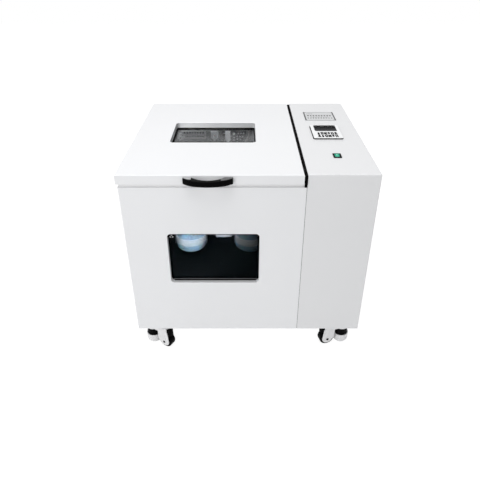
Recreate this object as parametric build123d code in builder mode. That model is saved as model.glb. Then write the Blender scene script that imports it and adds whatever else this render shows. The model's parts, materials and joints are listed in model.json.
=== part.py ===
from build123d import *
from math import cos, pi, radians, sin
import os

# Heated cabinet that turns bottles end over end on a motor-driven rotor.
# Millimetres. +X is right, the front faces -Y, +Z is up, z = 0 is the floor.
# The origin lies on the floor at the middle of the bounding box.

os.makedirs("parts", exist_ok=True)

# ---------------------------------------------------------------- cabinet
cabinet_width = 850
cabinet_depth = 750
cabinet_height = 655
caster_height = 107
sheet = 2
bend = 3
lid_overhang = 4
handle_reach = 40
rear_reach = 24

left = -cabinet_width / 2
right = cabinet_width / 2
front = handle_reach - (handle_reach + cabinet_depth + rear_reach) / 2
rear = front + cabinet_depth
bottom = caster_height
top = caster_height + cabinet_height
inner_front = front + sheet
inner_rear = rear - sheet

seam = 1.5
body_left = left + lid_overhang
inner_left = body_left + sheet
lid_right = left + 604
control_left = left + 615
lid_thickness = 33
lid_bottom = top - lid_thickness
gasket_height = 3
rim_recess = 8
rim_top = lid_bottom - gasket_height
body_top = rim_top - 9
base_top = bottom + 6

# ---------------------------------------------------------------- chamber
liner_sheet = 1.5
chamber_left = body_left + 34
chamber_right = control_left - 34.5
chamber_front = front + 32
chamber_rear = rear - 47
chamber_floor = base_top + 45
chamber_x = (chamber_left + chamber_right) / 2

# ---------------------------------------------------------------- windows
front_window_width = 316
front_window_height = 208
front_window_radius = 13
front_window_x = left + 306.5
front_window_z = top - 327
front_reveal = 17
lid_window_width = 317
lid_window_depth = 213
lid_window_radius = 11
lid_window_x = left + 296.5
lid_window_y = front + 384
lid_reveal = 23
pane = 4

# ---------------------------------------------------------------- rotor and drive
shaft_y = front + 367
shaft_z = top - 298
shaft_radius = 15
running_fit = 0.05
column_offset = 127
columns = [chamber_x - column_offset, chamber_x + column_offset]
bottle_radius = 62
bottle_reach = 216
cap_reach = 22
strap_offset = bottle_radius + 3
strap_thickness = 4
strap_reach = 194
pulley_ratio = 2
motor_pitch_radius = 30
driven_pitch_radius = motor_pitch_radius * pulley_ratio
pulley_width = 20
pulley_x = control_left + 12
belt_width = 10
belt_thickness = 7.2
belt_gap = 0.4
motor_z = shaft_z - 220

# ---------------------------------------------------------------- air circulation
fan_x = left + 365
fan_z = top - 115
fan_radius = 48
heater_radius = 68

# ---------------------------------------------------------------- control panel
controller_x = left + 727
controller_y = front + 376
controller_width = 110
controller_depth = 142
controller_raise = 6
switch_x = left + 731.5
switch_y = front + 150
switch_on_tilt = 9
plate_x = left + 727
plate_y = front + 570
plate_width = 127
plate_depth = 110

# ---------------------------------------------------------------- hinges and casters
pin_radius = 4
pin_y = rear + 7
pin_z = (body_top + lid_bottom) / 2
hinge_places = [left + 95, lid_right - 95]
knuckle_radius = 6.5
knuckle_gap = 0.5

wheel_radius = 29
wheel_width = 30
trail = 64
axle_radius = 4
foot_radius = 30
foot_clearance = 2
foot_height = 40
stem_radius = 6
housing_bottom = 74
caster_inset_x = 50
caster_inset_y = 58
caster_corners = {
    "front_left": (left + caster_inset_x, front + caster_inset_y, -30),
    "front_right": (right - caster_inset_x, front + caster_inset_y, 195),
    "rear_left": (left + caster_inset_x, rear - caster_inset_y, -70),
    "rear_right": (right - caster_inset_x, rear - caster_inset_y, 215),
}


def write(builder, name):
    """Label a finished piece and write its file."""
    builder.part.label = name
    export_step(builder.part, f"parts/{name}.step")


def block(x0, x1, y0, y1, z0, z1, mode=Mode.ADD):
    """Box between two corners, in the part that is being built."""
    with Locations(((x0 + x1) / 2, (y0 + y1) / 2, (z0 + z1) / 2)):
        Box(x1 - x0, y1 - y0, z1 - z0, mode=mode)


def rod_x(x0, x1, y, z, radius, mode=Mode.ADD):
    """Cylinder along X."""
    with Locations(((x0 + x1) / 2, y, z)):
        Cylinder(radius, x1 - x0, rotation=(0, 90, 0), mode=mode)


def rod_y(x, y0, y1, z, radius, mode=Mode.ADD):
    """Cylinder along Y."""
    with Locations((x, (y0 + y1) / 2, z)):
        Cylinder(radius, y1 - y0, rotation=(90, 0, 0), mode=mode)


def rod_z(x, y, z0, z1, radius, mode=Mode.ADD):
    """Cylinder along Z."""
    with Locations((x, y, (z0 + z1) / 2)):
        Cylinder(radius, z1 - z0, mode=mode)


def front_window(y0, y1, grow, mode=Mode.ADD):
    """Rounded front-window shape from y0 back to y1, larger all round by grow."""
    with BuildSketch(Plane.XZ.offset(-y1)) as outline:
        with Locations((front_window_x, front_window_z)):
            RectangleRounded(front_window_width + 2 * grow, front_window_height + 2 * grow,
                             front_window_radius + grow)
    extrude(outline.sketch, amount=y1 - y0, mode=mode)


def lid_window(z0, z1, grow, mode=Mode.ADD):
    """Rounded lid-window shape from z0 up to z1, larger all round by grow."""
    with BuildSketch(Plane.XY.offset(z0)) as outline:
        with Locations((lid_window_x, lid_window_y)):
            RectangleRounded(lid_window_width + 2 * grow, lid_window_depth + 2 * grow,
                             lid_window_radius + grow)
    extrude(outline.sketch, amount=z1 - z0, mode=mode)


def edges_near(builder, direction, x=None, y=None, z=None):
    """Edges along one direction whose middles lie at the given places."""
    chosen = builder.edges().filter_by(direction)
    for axis, place in ((Axis.X, x), (Axis.Y, y), (Axis.Z, z)):
        if place is not None:
            chosen = chosen.filter_by_position(axis, place - 0.1, place + 0.1)
    return chosen


# ================================================================ cabinet

# The base carries the casters. Cooling air rises through its opening into the control section.
intake_width = 150
intake_depth = 130
intake_x = right - 107
intake_y = front + 197
with BuildPart() as base_plate:
    block(inner_left, right - sheet, inner_front, inner_rear, bottom, base_top)
    block(intake_x - intake_width / 2, intake_x + intake_width / 2, intake_y - intake_depth / 2,
          intake_y + intake_depth / 2, bottom - 1, base_top + 1, Mode.SUBTRACT)
    fillet(edges_near(base_plate, Axis.Z, y=intake_y - intake_depth / 2), radius=8)
    fillet(edges_near(base_plate, Axis.Z, y=intake_y + intake_depth / 2), radius=8)
write(base_plate, "base_plate")

# Front and left side, folded from one sheet, with the window's edge turned inward.
with BuildPart() as body_shell:
    block(body_left, control_left - seam, front, rear, bottom, body_top)
    fillet(edges_near(body_shell, Axis.Z, x=body_left, y=front), radius=bend)
    block(inner_left, control_left, inner_front, rear + 1, bottom - 1, body_top + 1, Mode.SUBTRACT)
    front_window(front, front + front_reveal, sheet)
    front_window(front - 1, front + front_reveal + 1, 0, Mode.SUBTRACT)
    fillet(body_shell.faces().sort_by(Axis.Y)[0].inner_wires().edges(), radius=1.2)
write(body_shell, "body_shell")

# Front, right side and top of the control section, folded from one sheet.
cutout_clearance = 0.5
controller_cutout = (controller_width - 18, controller_depth - 18)
switch_cutout = (22, 30)
with BuildPart() as control_casing:
    block(control_left, right, front, rear, bottom, top)
    outer_bends = edges_near(control_casing, Axis.X, y=front, z=top)
    outer_bends += edges_near(control_casing, Axis.Y, x=right, z=top)
    outer_bends += edges_near(control_casing, Axis.Z, x=right, y=front)
    fillet(outer_bends, radius=bend)
    block(control_left - 1, right - sheet, inner_front, rear + 1, bottom - 1, top - sheet, Mode.SUBTRACT)
    with BuildSketch(Plane.XY.offset(top)):
        with Locations((controller_x, controller_y)):
            Rectangle(*controller_cutout)
        with Locations((switch_x, switch_y)):
            Rectangle(*switch_cutout)
    extrude(amount=-sheet, mode=Mode.SUBTRACT)
write(control_casing, "control_casing")

# Upright plate between the chamber and the control section.
divider_right = control_left + sheet
with BuildPart() as divider_wall:
    block(control_left, divider_right, inner_front, inner_rear, base_top, top - sheet)
    rod_x(control_left - 1, divider_right + 1, shaft_y, shaft_z, shaft_radius + 3, Mode.SUBTRACT)
write(divider_wall, "divider_wall")

# Rear cover: low behind the chamber, full height behind the control section.
inlet_x = right - 110
inlet_z = bottom + 105
vent_columns = 2
vent_rows = 9
with BuildPart() as rear_panel:
    block(inner_left, control_left, inner_rear, rear, bottom, body_top)
    block(control_left, right - sheet, inner_rear, rear, bottom, top - sheet)
    rod_y(fan_x, inner_rear - 1, rear + 1, fan_z, 8, Mode.SUBTRACT)
    with BuildSketch(Plane.XZ.offset(-rear)):
        with Locations((right - 118, top - 190)):
            with GridLocations(90, 16, vent_columns, vent_rows):
                SlotOverall(70, 6)
        with Locations((inlet_x, inlet_z)):
            Rectangle(28, 48)
    extrude(amount=sheet, mode=Mode.SUBTRACT)
write(rear_panel, "rear_panel")

# Recessed strip round the chamber mouth, on which the lid's gasket closes.
mouth_left = chamber_left - liner_sheet
mouth_right = chamber_right + liner_sheet
mouth_front = chamber_front - liner_sheet
mouth_rear = chamber_rear + liner_sheet
rim_bottom = body_top - 8
with BuildPart() as rim_frame:
    block(inner_left, control_left, inner_front, inner_rear, rim_bottom, body_top)
    block(body_left + rim_recess, control_left, front + rim_recess, rear - rim_recess, body_top, rim_top)
    block(mouth_left, mouth_right, mouth_front, mouth_rear, rim_bottom - 1, rim_top + 1, Mode.SUBTRACT)
write(rim_frame, "rim_frame")

with BuildPart() as chamber_liner:
    block(mouth_left, mouth_right, mouth_front, mouth_rear, chamber_floor - liner_sheet, rim_top)
    block(chamber_left, chamber_right, chamber_front, chamber_rear, chamber_floor, rim_top + 1, Mode.SUBTRACT)
    fillet(edges_near(chamber_liner, Axis.X, z=chamber_floor), radius=8)
    front_window(mouth_front - 1, chamber_front + 1, -5, Mode.SUBTRACT)
    rod_x(mouth_left - 1, mouth_right + 1, shaft_y, shaft_z, shaft_radius + 2, Mode.SUBTRACT)
    rod_y(fan_x, chamber_rear - 1, mouth_rear + 1, fan_z, 8, Mode.SUBTRACT)
write(chamber_liner, "chamber_liner")

with BuildPart() as insulation_jacket:
    block(inner_left, control_left, inner_front, inner_rear, base_top, rim_bottom)
    block(mouth_left, mouth_right, mouth_front, mouth_rear, chamber_floor - liner_sheet, rim_bottom + 1,
          Mode.SUBTRACT)
    front_window(inner_front - 1, mouth_front + 1, 10, Mode.SUBTRACT)
    rod_x(mouth_left - 16, control_left + 1, shaft_y, shaft_z, shaft_radius + 4, Mode.SUBTRACT)
    rod_y(fan_x, mouth_rear - 1, inner_rear + 1, fan_z, 10, Mode.SUBTRACT)
write(insulation_jacket, "insulation_jacket")

# Black strip that fills the slot beside the lid, turned down at the front end.
seal_left = lid_right + 2
with BuildPart() as side_seal_strip:
    block(seal_left, control_left, front - 2, rear - 1, rim_top, top - 4)
    block(seal_left, control_left - seam, front - 2, front + rim_recess, body_top, rim_top)
write(side_seal_strip, "side_seal_strip")

with BuildPart() as front_window_panes:
    front_window(front + front_reveal, front + front_reveal + pane, 8)
    front_window(mouth_front - pane, mouth_front, 8)
write(front_window_panes, "front_window_panes")

with BuildPart() as front_window_seal:
    front_window(front + front_reveal + pane, mouth_front - pane, 8)
    front_window(front + front_reveal, mouth_front, -4, Mode.SUBTRACT)
write(front_window_seal, "front_window_seal")

# ================================================================ lid

lid_rear = rear
with BuildPart() as lid_shell:
    block(left, lid_right, front - lid_overhang, lid_rear, lid_bottom, top)
    fillet(lid_shell.faces().sort_by(Axis.Z)[-1].edges(), radius=bend)
    block(left + sheet, lid_right - sheet, front - lid_overhang + sheet, lid_rear - sheet, lid_bottom - 1,
          top - sheet, Mode.SUBTRACT)
    lid_window(top - lid_reveal, top - sheet, sheet)
    lid_window(top - lid_reveal - 1, top + 1, 0, Mode.SUBTRACT)
    fillet(lid_shell.faces().sort_by(Axis.Z)[-1].inner_wires().edges(), radius=1.2)
write(lid_shell, "lid_shell")

lid_inner_left = left + sheet
lid_inner_right = lid_right - sheet
lid_inner_front = front - lid_overhang + sheet
lid_inner_rear = lid_rear - sheet
lid_liner_top = lid_bottom + liner_sheet
upper_pane_bottom = top - lid_reveal - pane
with BuildPart() as lid_liner:
    block(lid_inner_left, lid_inner_right, lid_inner_front, lid_inner_rear, lid_bottom, lid_liner_top)
    lid_window(lid_bottom - 1, lid_liner_top + 1, -5, Mode.SUBTRACT)
write(lid_liner, "lid_liner")

with BuildPart() as lid_insulation:
    block(lid_inner_left, lid_inner_right, lid_inner_front, lid_inner_rear, lid_liner_top, top - sheet)
    lid_window(lid_liner_top - 1, top, 12, Mode.SUBTRACT)
write(lid_insulation, "lid_insulation")

with BuildPart() as lid_window_panes:
    lid_window(upper_pane_bottom, upper_pane_bottom + pane, 8)
    lid_window(lid_liner_top, lid_liner_top + 3, 8)
write(lid_window_panes, "lid_window_panes")

with BuildPart() as lid_window_seal:
    lid_window(lid_liner_top + 3, upper_pane_bottom, 8)
    lid_window(lid_liner_top, upper_pane_bottom + 1, -4, Mode.SUBTRACT)
write(lid_window_seal, "lid_window_seal")

gasket_width = 14
with BuildPart() as lid_gasket:
    block(mouth_left - gasket_width, mouth_right + gasket_width, mouth_front - gasket_width,
          mouth_rear + gasket_width, rim_top + 0.2, lid_bottom)
    block(mouth_left, mouth_right, mouth_front, mouth_rear, rim_top - 1, lid_bottom + 1, Mode.SUBTRACT)
write(lid_gasket, "lid_gasket")

# Bow handle: a half-moon grip that stands out from the lid's front edge.
handle_x = left + 297
handle_length = 160
handle_z = top - 16.5
handle_height = 19
handle_depth = 13
pad_length = 26
pad_depth = 5
shoulder_inset = 17
shoulder_depth = 23
lid_front = front - lid_overhang
handle_tip = front - handle_reach
with BuildPart() as lid_handle:
    with BuildSketch(Plane.XY.offset(handle_z - handle_height / 2)):
        with BuildLine():
            outer = ThreePointArc((handle_x - handle_length / 2 + shoulder_inset, lid_front - shoulder_depth),
                                  (handle_x, handle_tip),
                                  (handle_x + handle_length / 2 - shoulder_inset, lid_front - shoulder_depth))
            Polyline(outer @ 1,
                     (handle_x + handle_length / 2, lid_front - pad_depth),
                     (handle_x + handle_length / 2, lid_front),
                     (handle_x + handle_length / 2 - pad_length, lid_front))
            inner = ThreePointArc((handle_x + handle_length / 2 - pad_length, lid_front),
                                  (handle_x, handle_tip + handle_depth),
                                  (handle_x - handle_length / 2 + pad_length, lid_front))
            Polyline(inner @ 1,
                     (handle_x - handle_length / 2, lid_front),
                     (handle_x - handle_length / 2, lid_front - pad_depth),
                     outer @ 0)
        make_face()
    extrude(amount=handle_height)
    fillet(lid_handle.edges().filter_by(GeomType.CIRCLE), radius=2)
write(lid_handle, "lid_handle")

# ---------------------------------------------------------------- lid hinges
leaf = 2.5
leaf_width = 64
knuckle_width = 20


def knuckle(x0, x1, leaf_z0, leaf_z1):
    """One hinge barrel on the pin's axis with the web that joins it to its leaf."""
    rod_x(x0, x1, pin_y, pin_z, knuckle_radius)
    block(x0, x1, rear, rear + leaf, min(leaf_z0, pin_z), max(leaf_z1, pin_z))
    rod_x(x0 - 1, x1 + 1, pin_y, pin_z, pin_radius + running_fit, Mode.SUBTRACT)


with BuildPart() as hinge_body_leaves:
    for place in hinge_places:
        block(place - leaf_width / 2, place + leaf_width / 2, rear, rear + leaf, body_top - 42, body_top - 2)
        knuckle(place - leaf_width / 2, place - knuckle_width / 2 - knuckle_gap, body_top - 42, body_top)
        knuckle(place + knuckle_width / 2 + knuckle_gap, place + leaf_width / 2, body_top - 42, body_top)
write(hinge_body_leaves, "hinge_body_leaves")

with BuildPart() as hinge_lid_leaves:
    for place in hinge_places:
        block(place - leaf_width / 2, place + leaf_width / 2, rear, rear + leaf, lid_bottom + 4, top - 4)
        knuckle(place - knuckle_width / 2, place + knuckle_width / 2, lid_bottom, top - 4)
write(hinge_lid_leaves, "hinge_lid_leaves")

with BuildPart() as hinge_pins:
    for place in hinge_places:
        rod_x(place - leaf_width / 2 - 1, place + leaf_width / 2 + 1, pin_y, pin_z, pin_radius)
        for end in (-1, 1):
            middle = place + end * (leaf_width / 2 + 1.5)
            rod_x(middle - 1, middle + 1, pin_y, pin_z, pin_radius + 1)
write(hinge_pins, "hinge_pins")

# ================================================================ rotor

shaft_end = pulley_x + pulley_width + 8
with BuildPart() as rotor_shaft:
    rod_x(chamber_left + 2, shaft_end, shaft_y, shaft_z, shaft_radius)
    chamfer(rotor_shaft.edges().filter_by(GeomType.CIRCLE), length=1.5)
write(rotor_shaft, "rotor_shaft")

# Flange bearings on the chamber's two side walls.
bearing_size = 84
bearing_flange = 10
bearing_length = 24
with BuildPart() as shaft_bearings:
    for wall_x, inward in ((chamber_left, 1), (chamber_right, -1)):
        flange_end = wall_x + inward * bearing_flange
        boss_end = wall_x + inward * bearing_length
        with BuildSketch(Plane.YZ.offset(min(wall_x, flange_end))):
            with Locations((shaft_y, shaft_z)):
                RectangleRounded(bearing_size, bearing_size, 12)
                with GridLocations(60, 60, 2, 2):
                    Circle(4.5, mode=Mode.SUBTRACT)
        extrude(amount=bearing_flange)
        rod_x(min(wall_x, boss_end), max(wall_x, boss_end), shaft_y, shaft_z, 29)
        rod_x(min(wall_x, boss_end) - 1, max(wall_x, boss_end) + 1, shaft_y, shaft_z,
              shaft_radius + running_fit, Mode.SUBTRACT)
write(shaft_bearings, "shaft_bearings")

# Two upright straps per bottle column on a sleeve round the shaft, with ties between the columns.
strap_width = 40
tie_reach = 151
tie_plate_x = chamber_x + 16
with BuildPart() as rotor_frame:
    for column in columns:
        for side in (-1, 1):
            strap_middle = column + side * (strap_offset + strap_thickness / 2)
            strap_x0 = strap_middle - strap_thickness / 2
            strap_x1 = strap_middle + strap_thickness / 2
            block(strap_x0, strap_x1, shaft_y - strap_width / 2, shaft_y + strap_width / 2,
                  shaft_z - strap_reach, shaft_z + strap_reach)
    rod_x(columns[0] - 84, columns[1] + 84, shaft_y, shaft_z, cap_reach - 2)
    tie_x0 = columns[0] + strap_offset + strap_thickness
    tie_x1 = columns[1] - strap_offset - strap_thickness
    for end in (-1, 1):
        tie_z = shaft_z + end * tie_reach
        block(tie_x0, tie_x1, shaft_y - 18, shaft_y + 18, tie_z - 3, tie_z + 3)
        block(tie_plate_x - 32, tie_plate_x + 32, shaft_y - 24, shaft_y + 24, tie_z - 5, tie_z + 5)
    rod_x(columns[0] - 100, columns[1] + 100, shaft_y, shaft_z, shaft_radius, Mode.SUBTRACT)
write(rotor_frame, "rotor_frame")

# A band clamp grips each bottle near its base. Its screw ears stand at the rear.
band_height = 30
band_reach = 166
band_thickness = strap_offset - bottle_radius
with BuildPart() as bottle_clamps:
    for column in columns:
        for end in (-1, 1):
            band_z = shaft_z + end * band_reach
            rod_z(column, shaft_y, band_z - band_height / 2, band_z + band_height / 2, strap_offset)
            for ear in (-1, 1):
                block(column + ear * 5 - 2, column + ear * 5 + 2, shaft_y + bottle_radius,
                      shaft_y + strap_offset + 18, band_z - 11, band_z + 11)
            rod_x(column - 18, column + 14, shaft_y + strap_offset + 10, band_z, 3)
            rod_x(column + 8, column + 22, shaft_y + strap_offset + 10, band_z, 8)
            rod_z(column, shaft_y, band_z - band_height, band_z + band_height, bottle_radius, Mode.SUBTRACT)
            block(column - 3, column + 3, shaft_y + bottle_radius - 1, shaft_y + strap_offset + 1,
                  band_z - band_height, band_z + band_height, Mode.SUBTRACT)
write(bottle_clamps, "bottle_clamps")

# Filled wide-neck bottles, necks toward the shaft.
neck_radius = 40
cap_radius = 44
cap_height = 24
shoulder_reach = 84
neck_reach = cap_reach + cap_height + 4
with BuildPart() as bottles:
    for column in columns:
        for end in (-1, 1):
            with BuildSketch(Plane.XZ.offset(-shaft_y)):
                with BuildLine():
                    Polyline((column, shaft_z + end * bottle_reach),
                             (column + bottle_radius, shaft_z + end * bottle_reach),
                             (column + bottle_radius, shaft_z + end * shoulder_reach),
                             (column + neck_radius, shaft_z + end * (neck_reach + 8)),
                             (column + neck_radius, shaft_z + end * neck_reach),
                             (column + neck_radius - 4, shaft_z + end * neck_reach),
                             (column + neck_radius - 4, shaft_z + end * (cap_reach + 3)),
                             (column, shaft_z + end * (cap_reach + 3)), close=True)
                make_face()
            revolve(axis=Axis((column, shaft_y, 0), (0, 0, 1)))
    rims = bottles.edges().filter_by(GeomType.CIRCLE)
    base_edges = rims.filter_by_position(Axis.Z, shaft_z - bottle_reach - 0.1, shaft_z - bottle_reach + 0.1)
    base_edges += rims.filter_by_position(Axis.Z, shaft_z + bottle_reach - 0.1, shaft_z + bottle_reach + 0.1)
    shoulders = rims.filter_by_position(Axis.Z, shaft_z - shoulder_reach - 0.1, shaft_z - shoulder_reach + 0.1)
    shoulders += rims.filter_by_position(Axis.Z, shaft_z + shoulder_reach - 0.1, shaft_z + shoulder_reach + 0.1)
    fillet(base_edges, radius=14)
    fillet(shoulders, radius=10)
write(bottles, "bottles")

grip_count = 24
with BuildPart() as bottle_caps:
    for column in columns:
        for end in (-1, 1):
            near = shaft_z + end * cap_reach
            far = shaft_z + end * (cap_reach + cap_height)
            inner = shaft_z + end * (cap_reach + 3)
            rod_z(column, shaft_y, min(near, far), max(near, far), cap_radius)
            rod_z(column, shaft_y, min(inner, far), max(inner, far), neck_radius - 4, Mode.SUBTRACT)
            with Locations((column, shaft_y, (near + far) / 2)):
                with PolarLocations(cap_radius + 0.6, grip_count):
                    Cylinder(1.6, cap_height, mode=Mode.SUBTRACT)
write(bottle_caps, "bottle_caps")

# ---------------------------------------------------------------- belt drive
groove_width = belt_width + 2
driven_groove = driven_pitch_radius - belt_thickness / 2 - belt_gap
motor_groove = motor_pitch_radius - belt_thickness / 2 - belt_gap
flange_rise = belt_thickness + 1.5
belt_middle = pulley_x + pulley_width / 2


def grooved_wheel(y, z, groove_radius):
    """Flat-bottomed grooved pulley with lightened flanges."""
    flange = (pulley_width - groove_width) / 2
    rod_x(pulley_x, pulley_x + pulley_width, y, z, groove_radius)
    rod_x(pulley_x, pulley_x + flange, y, z, groove_radius + flange_rise)
    rod_x(pulley_x + pulley_width - flange, pulley_x + pulley_width, y, z, groove_radius + flange_rise)


with BuildPart() as driven_pulley:
    grooved_wheel(shaft_y, shaft_z, driven_groove)
    rod_x(pulley_x, pulley_x + pulley_width + 6, shaft_y, shaft_z, 24)
    rod_x(pulley_x - 1, pulley_x + pulley_width + 7, shaft_y, shaft_z, shaft_radius, Mode.SUBTRACT)
    with BuildSketch(Plane.YZ.offset(pulley_x)):
        with Locations((shaft_y, shaft_z)):
            with PolarLocations(38, 6):
                Circle(8)
    extrude(amount=pulley_width, mode=Mode.SUBTRACT)
write(driven_pulley, "driven_pulley")

gearbox_x0 = pulley_x + pulley_width + 14
gearbox_x1 = gearbox_x0 + 70
motor_shaft_radius = 9
with BuildPart() as motor_pulley:
    grooved_wheel(shaft_y, motor_z, motor_groove)
    rod_x(pulley_x, gearbox_x0 + 24, shaft_y, motor_z, motor_shaft_radius)
write(motor_pulley, "motor_pulley")


def belt_outline(extra):
    """Sketch of the loop round both pulleys, extra outside the pitch line."""
    with Locations((shaft_y, shaft_z)):
        Circle(driven_pitch_radius + extra)
    with Locations((shaft_y, motor_z)):
        Circle(motor_pitch_radius + extra)
    make_hull()


with BuildPart() as drive_belt:
    with BuildSketch(Plane.YZ.offset(belt_middle - belt_width / 2)):
        belt_outline(belt_thickness / 2)
    extrude(amount=belt_width)
    with BuildSketch(Plane.YZ.offset(belt_middle - belt_width / 2)):
        belt_outline(-belt_thickness / 2)
    extrude(amount=belt_width, mode=Mode.SUBTRACT)
write(drive_belt, "drive_belt")

gearbox_half = 46
can_radius = 40
with BuildPart() as gearmotor:
    block(gearbox_x0, gearbox_x1, shaft_y - gearbox_half, shaft_y + gearbox_half,
          motor_z - gearbox_half, motor_z + gearbox_half)
    fillet(gearmotor.edges().filter_by(Axis.X), radius=8)
    rod_x(gearbox_x1, right - 22, shaft_y, motor_z, can_radius)
    block(gearbox_x0 + 6, gearbox_x1 - 6, shaft_y - 40, shaft_y + 40, base_top, motor_z - gearbox_half + 4)
    block(gearbox_x0, gearbox_x1, shaft_y - 70, shaft_y + 70, base_top, base_top + 8)
    rod_x(gearbox_x0 - 1, gearbox_x0 + 26, shaft_y, motor_z, motor_shaft_radius + running_fit, Mode.SUBTRACT)
write(gearmotor, "gearmotor")

# ================================================================ air circulation

guard_dish = 26
guard_rear = chamber_rear
with BuildPart() as fan_guard:
    rod_y(fan_x, guard_rear - guard_dish, guard_rear, fan_z, fan_radius + 8)
    fillet(fan_guard.faces().sort_by(Axis.Y)[0].edges(), radius=6)
    rod_y(fan_x, guard_rear - guard_dish + 2, guard_rear + 1, fan_z, fan_radius + 6, Mode.SUBTRACT)
    with BuildSketch(Plane.XZ.offset(-(guard_rear - guard_dish))):
        with Locations((fan_x, fan_z)):
            for ring_radius, count in ((20, 8), (32, 12), (43, 16)):
                with PolarLocations(ring_radius, count):
                    Circle(3.6)
    extrude(amount=-4, mode=Mode.SUBTRACT)
    rod_y(fan_x, guard_rear - guard_dish - 3, guard_rear - guard_dish, fan_z, 6)
    post_angles = (45, 135, 225, 315)
    with BuildSketch(Plane.XZ.offset(-guard_rear)):
        with Locations((fan_x, fan_z)):
            for angle in post_angles:
                with Locations(((fan_radius + 12) * cos(radians(angle)), (fan_radius + 12) * sin(radians(angle)))):
                    Circle(6)
    extrude(amount=2.5)
write(fan_guard, "fan_guard")

blade_count = 6
impeller_front = guard_rear - guard_dish + 5
impeller_rear = guard_rear - 5
with BuildPart() as fan_impeller:
    rod_y(fan_x, impeller_front, impeller_rear, fan_z, 10)
    rod_y(fan_x, impeller_rear - 1.5, impeller_rear, fan_z, fan_radius)
    with BuildSketch(Plane.XZ.offset(-impeller_rear)):
        with Locations((fan_x, fan_z)):
            with PolarLocations(27, blade_count):
                Rectangle(40, 2)
    extrude(amount=impeller_rear - impeller_front)
    rod_y(fan_x, impeller_rear, rear - 4, fan_z, 4)
write(fan_impeller, "fan_impeller")

with BuildPart() as fan_motor:
    rod_y(fan_x, rear, rear + rear_reach, fan_z, 38)
    fillet(fan_motor.faces().sort_by(Axis.Y)[-1].edges(), radius=5)
    with BuildSketch(Plane.XZ.offset(-rear)):
        with Locations((fan_x, fan_z)):
            RectangleRounded(92, 92, 12)
    extrude(amount=-3)
    rod_y(fan_x, rear - 11, rear, fan_z, 7.5)
    rod_y(fan_x, rear - 12, rear + 2, fan_z, 4 + running_fit, Mode.SUBTRACT)
write(fan_motor, "fan_motor")

# Ring heater round the fan, on two terminals through the rear wall.
heater_y = chamber_rear - 16
with BuildPart() as heater_coil:
    with BuildSketch(Plane.YZ.offset(fan_x)):
        with Locations((heater_y, fan_z - heater_radius)):
            Circle(4)
    revolve(axis=Axis((fan_x, heater_y, fan_z), (0, 1, 0)), revolution_arc=340)
    for end in (0, 340):
        terminal_x = fan_x + heater_radius * sin(radians(end))
        terminal_z = fan_z - heater_radius * cos(radians(end))
        rod_y(terminal_x, heater_y, chamber_rear, terminal_z, 4)
write(heater_coil, "heater_coil")

# ================================================================ control panel

display_width = 82
display_depth = 56
display_y = controller_y + 33
keypad_width = 86
keypad_depth = 60
keypad_y = controller_y - 38
lens_thickness = 2
panel_top = top + controller_raise
with BuildPart() as controller_body:
    with BuildSketch(Plane.XY.offset(top)):
        with Locations((controller_x, controller_y)):
            RectangleRounded(controller_width, controller_depth, 6)
    extrude(amount=controller_raise)
    fillet(controller_body.faces().sort_by(Axis.Z)[-1].edges(), radius=2)
    with BuildSketch(Plane.XY.offset(top)):
        with Locations((controller_x, controller_y)):
            Rectangle(controller_cutout[0] - cutout_clearance, controller_cutout[1] - cutout_clearance)
    extrude(amount=-48)
    with BuildSketch(Plane.XY.offset(panel_top)):
        with Locations((controller_x, display_y)):
            RectangleRounded(display_width, display_depth, 5)
    extrude(amount=-3, mode=Mode.SUBTRACT)
write(controller_body, "controller_body")

with BuildPart() as display_lens:
    with BuildSketch(Plane.XY.offset(panel_top - 3)):
        with Locations((controller_x, display_y)):
            RectangleRounded(display_width, display_depth, 5)
    extrude(amount=lens_thickness)
write(display_lens, "display_lens")

# One flexible printed sheet with two rows of low domes.
with BuildPart() as keypad_membrane:
    with BuildSketch(Plane.XY.offset(panel_top)):
        with Locations((controller_x, keypad_y)):
            RectangleRounded(keypad_width, keypad_depth, 4)
    extrude(amount=0.6)
    with BuildSketch(Plane.XY.offset(panel_top + 0.6)):
        with Locations((controller_x, keypad_y)):
            with GridLocations(13, 25.5, 6, 2):
                RectangleRounded(10, 17, 2)
    extrude(amount=0.5)
write(keypad_membrane, "keypad_membrane")

switch_flange = 3
rocker_pivot_z = top - 5
with BuildPart() as switch_bezel:
    with BuildSketch(Plane.XY.offset(top)):
        with Locations((switch_x, switch_y)):
            RectangleRounded(switch_cutout[0] + 6, switch_cutout[1] + 6, 2.5)
    extrude(amount=switch_flange)
    fillet(switch_bezel.faces().sort_by(Axis.Z)[-1].edges(), radius=1)
    with BuildSketch(Plane.XY.offset(top)):
        with Locations((switch_x, switch_y)):
            Rectangle(switch_cutout[0], switch_cutout[1])
    extrude(amount=-24)
    with BuildSketch(Plane.XY.offset(top + switch_flange)):
        with Locations((switch_x, switch_y)):
            Rectangle(switch_cutout[0] - 4, switch_cutout[1] - 4)
    extrude(amount=-20, mode=Mode.SUBTRACT)
write(switch_bezel, "switch_bezel")

# The rocker is drawn level about its pivot, then tilted to the ON side.
rocker_width = switch_cutout[0] - 5
rocker_length = 23
rocker_plane = Plane(origin=(switch_x - rocker_width / 2, switch_y, rocker_pivot_z),
                     x_dir=(0, cos(radians(switch_on_tilt)), sin(radians(switch_on_tilt))), z_dir=(1, 0, 0))
with BuildPart() as switch_rocker:
    with BuildSketch(rocker_plane):
        with BuildLine():
            Polyline((-rocker_length / 2, 8.5), (-rocker_length / 2, 0), (-5, -4), (5, -4),
                     (rocker_length / 2, 0), (rocker_length / 2, 8.5))
            ThreePointArc((rocker_length / 2, 8.5), (0, 5.5), (-rocker_length / 2, 8.5))
        make_face()
    extrude(amount=rocker_width)
write(switch_rocker, "switch_rocker")

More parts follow.
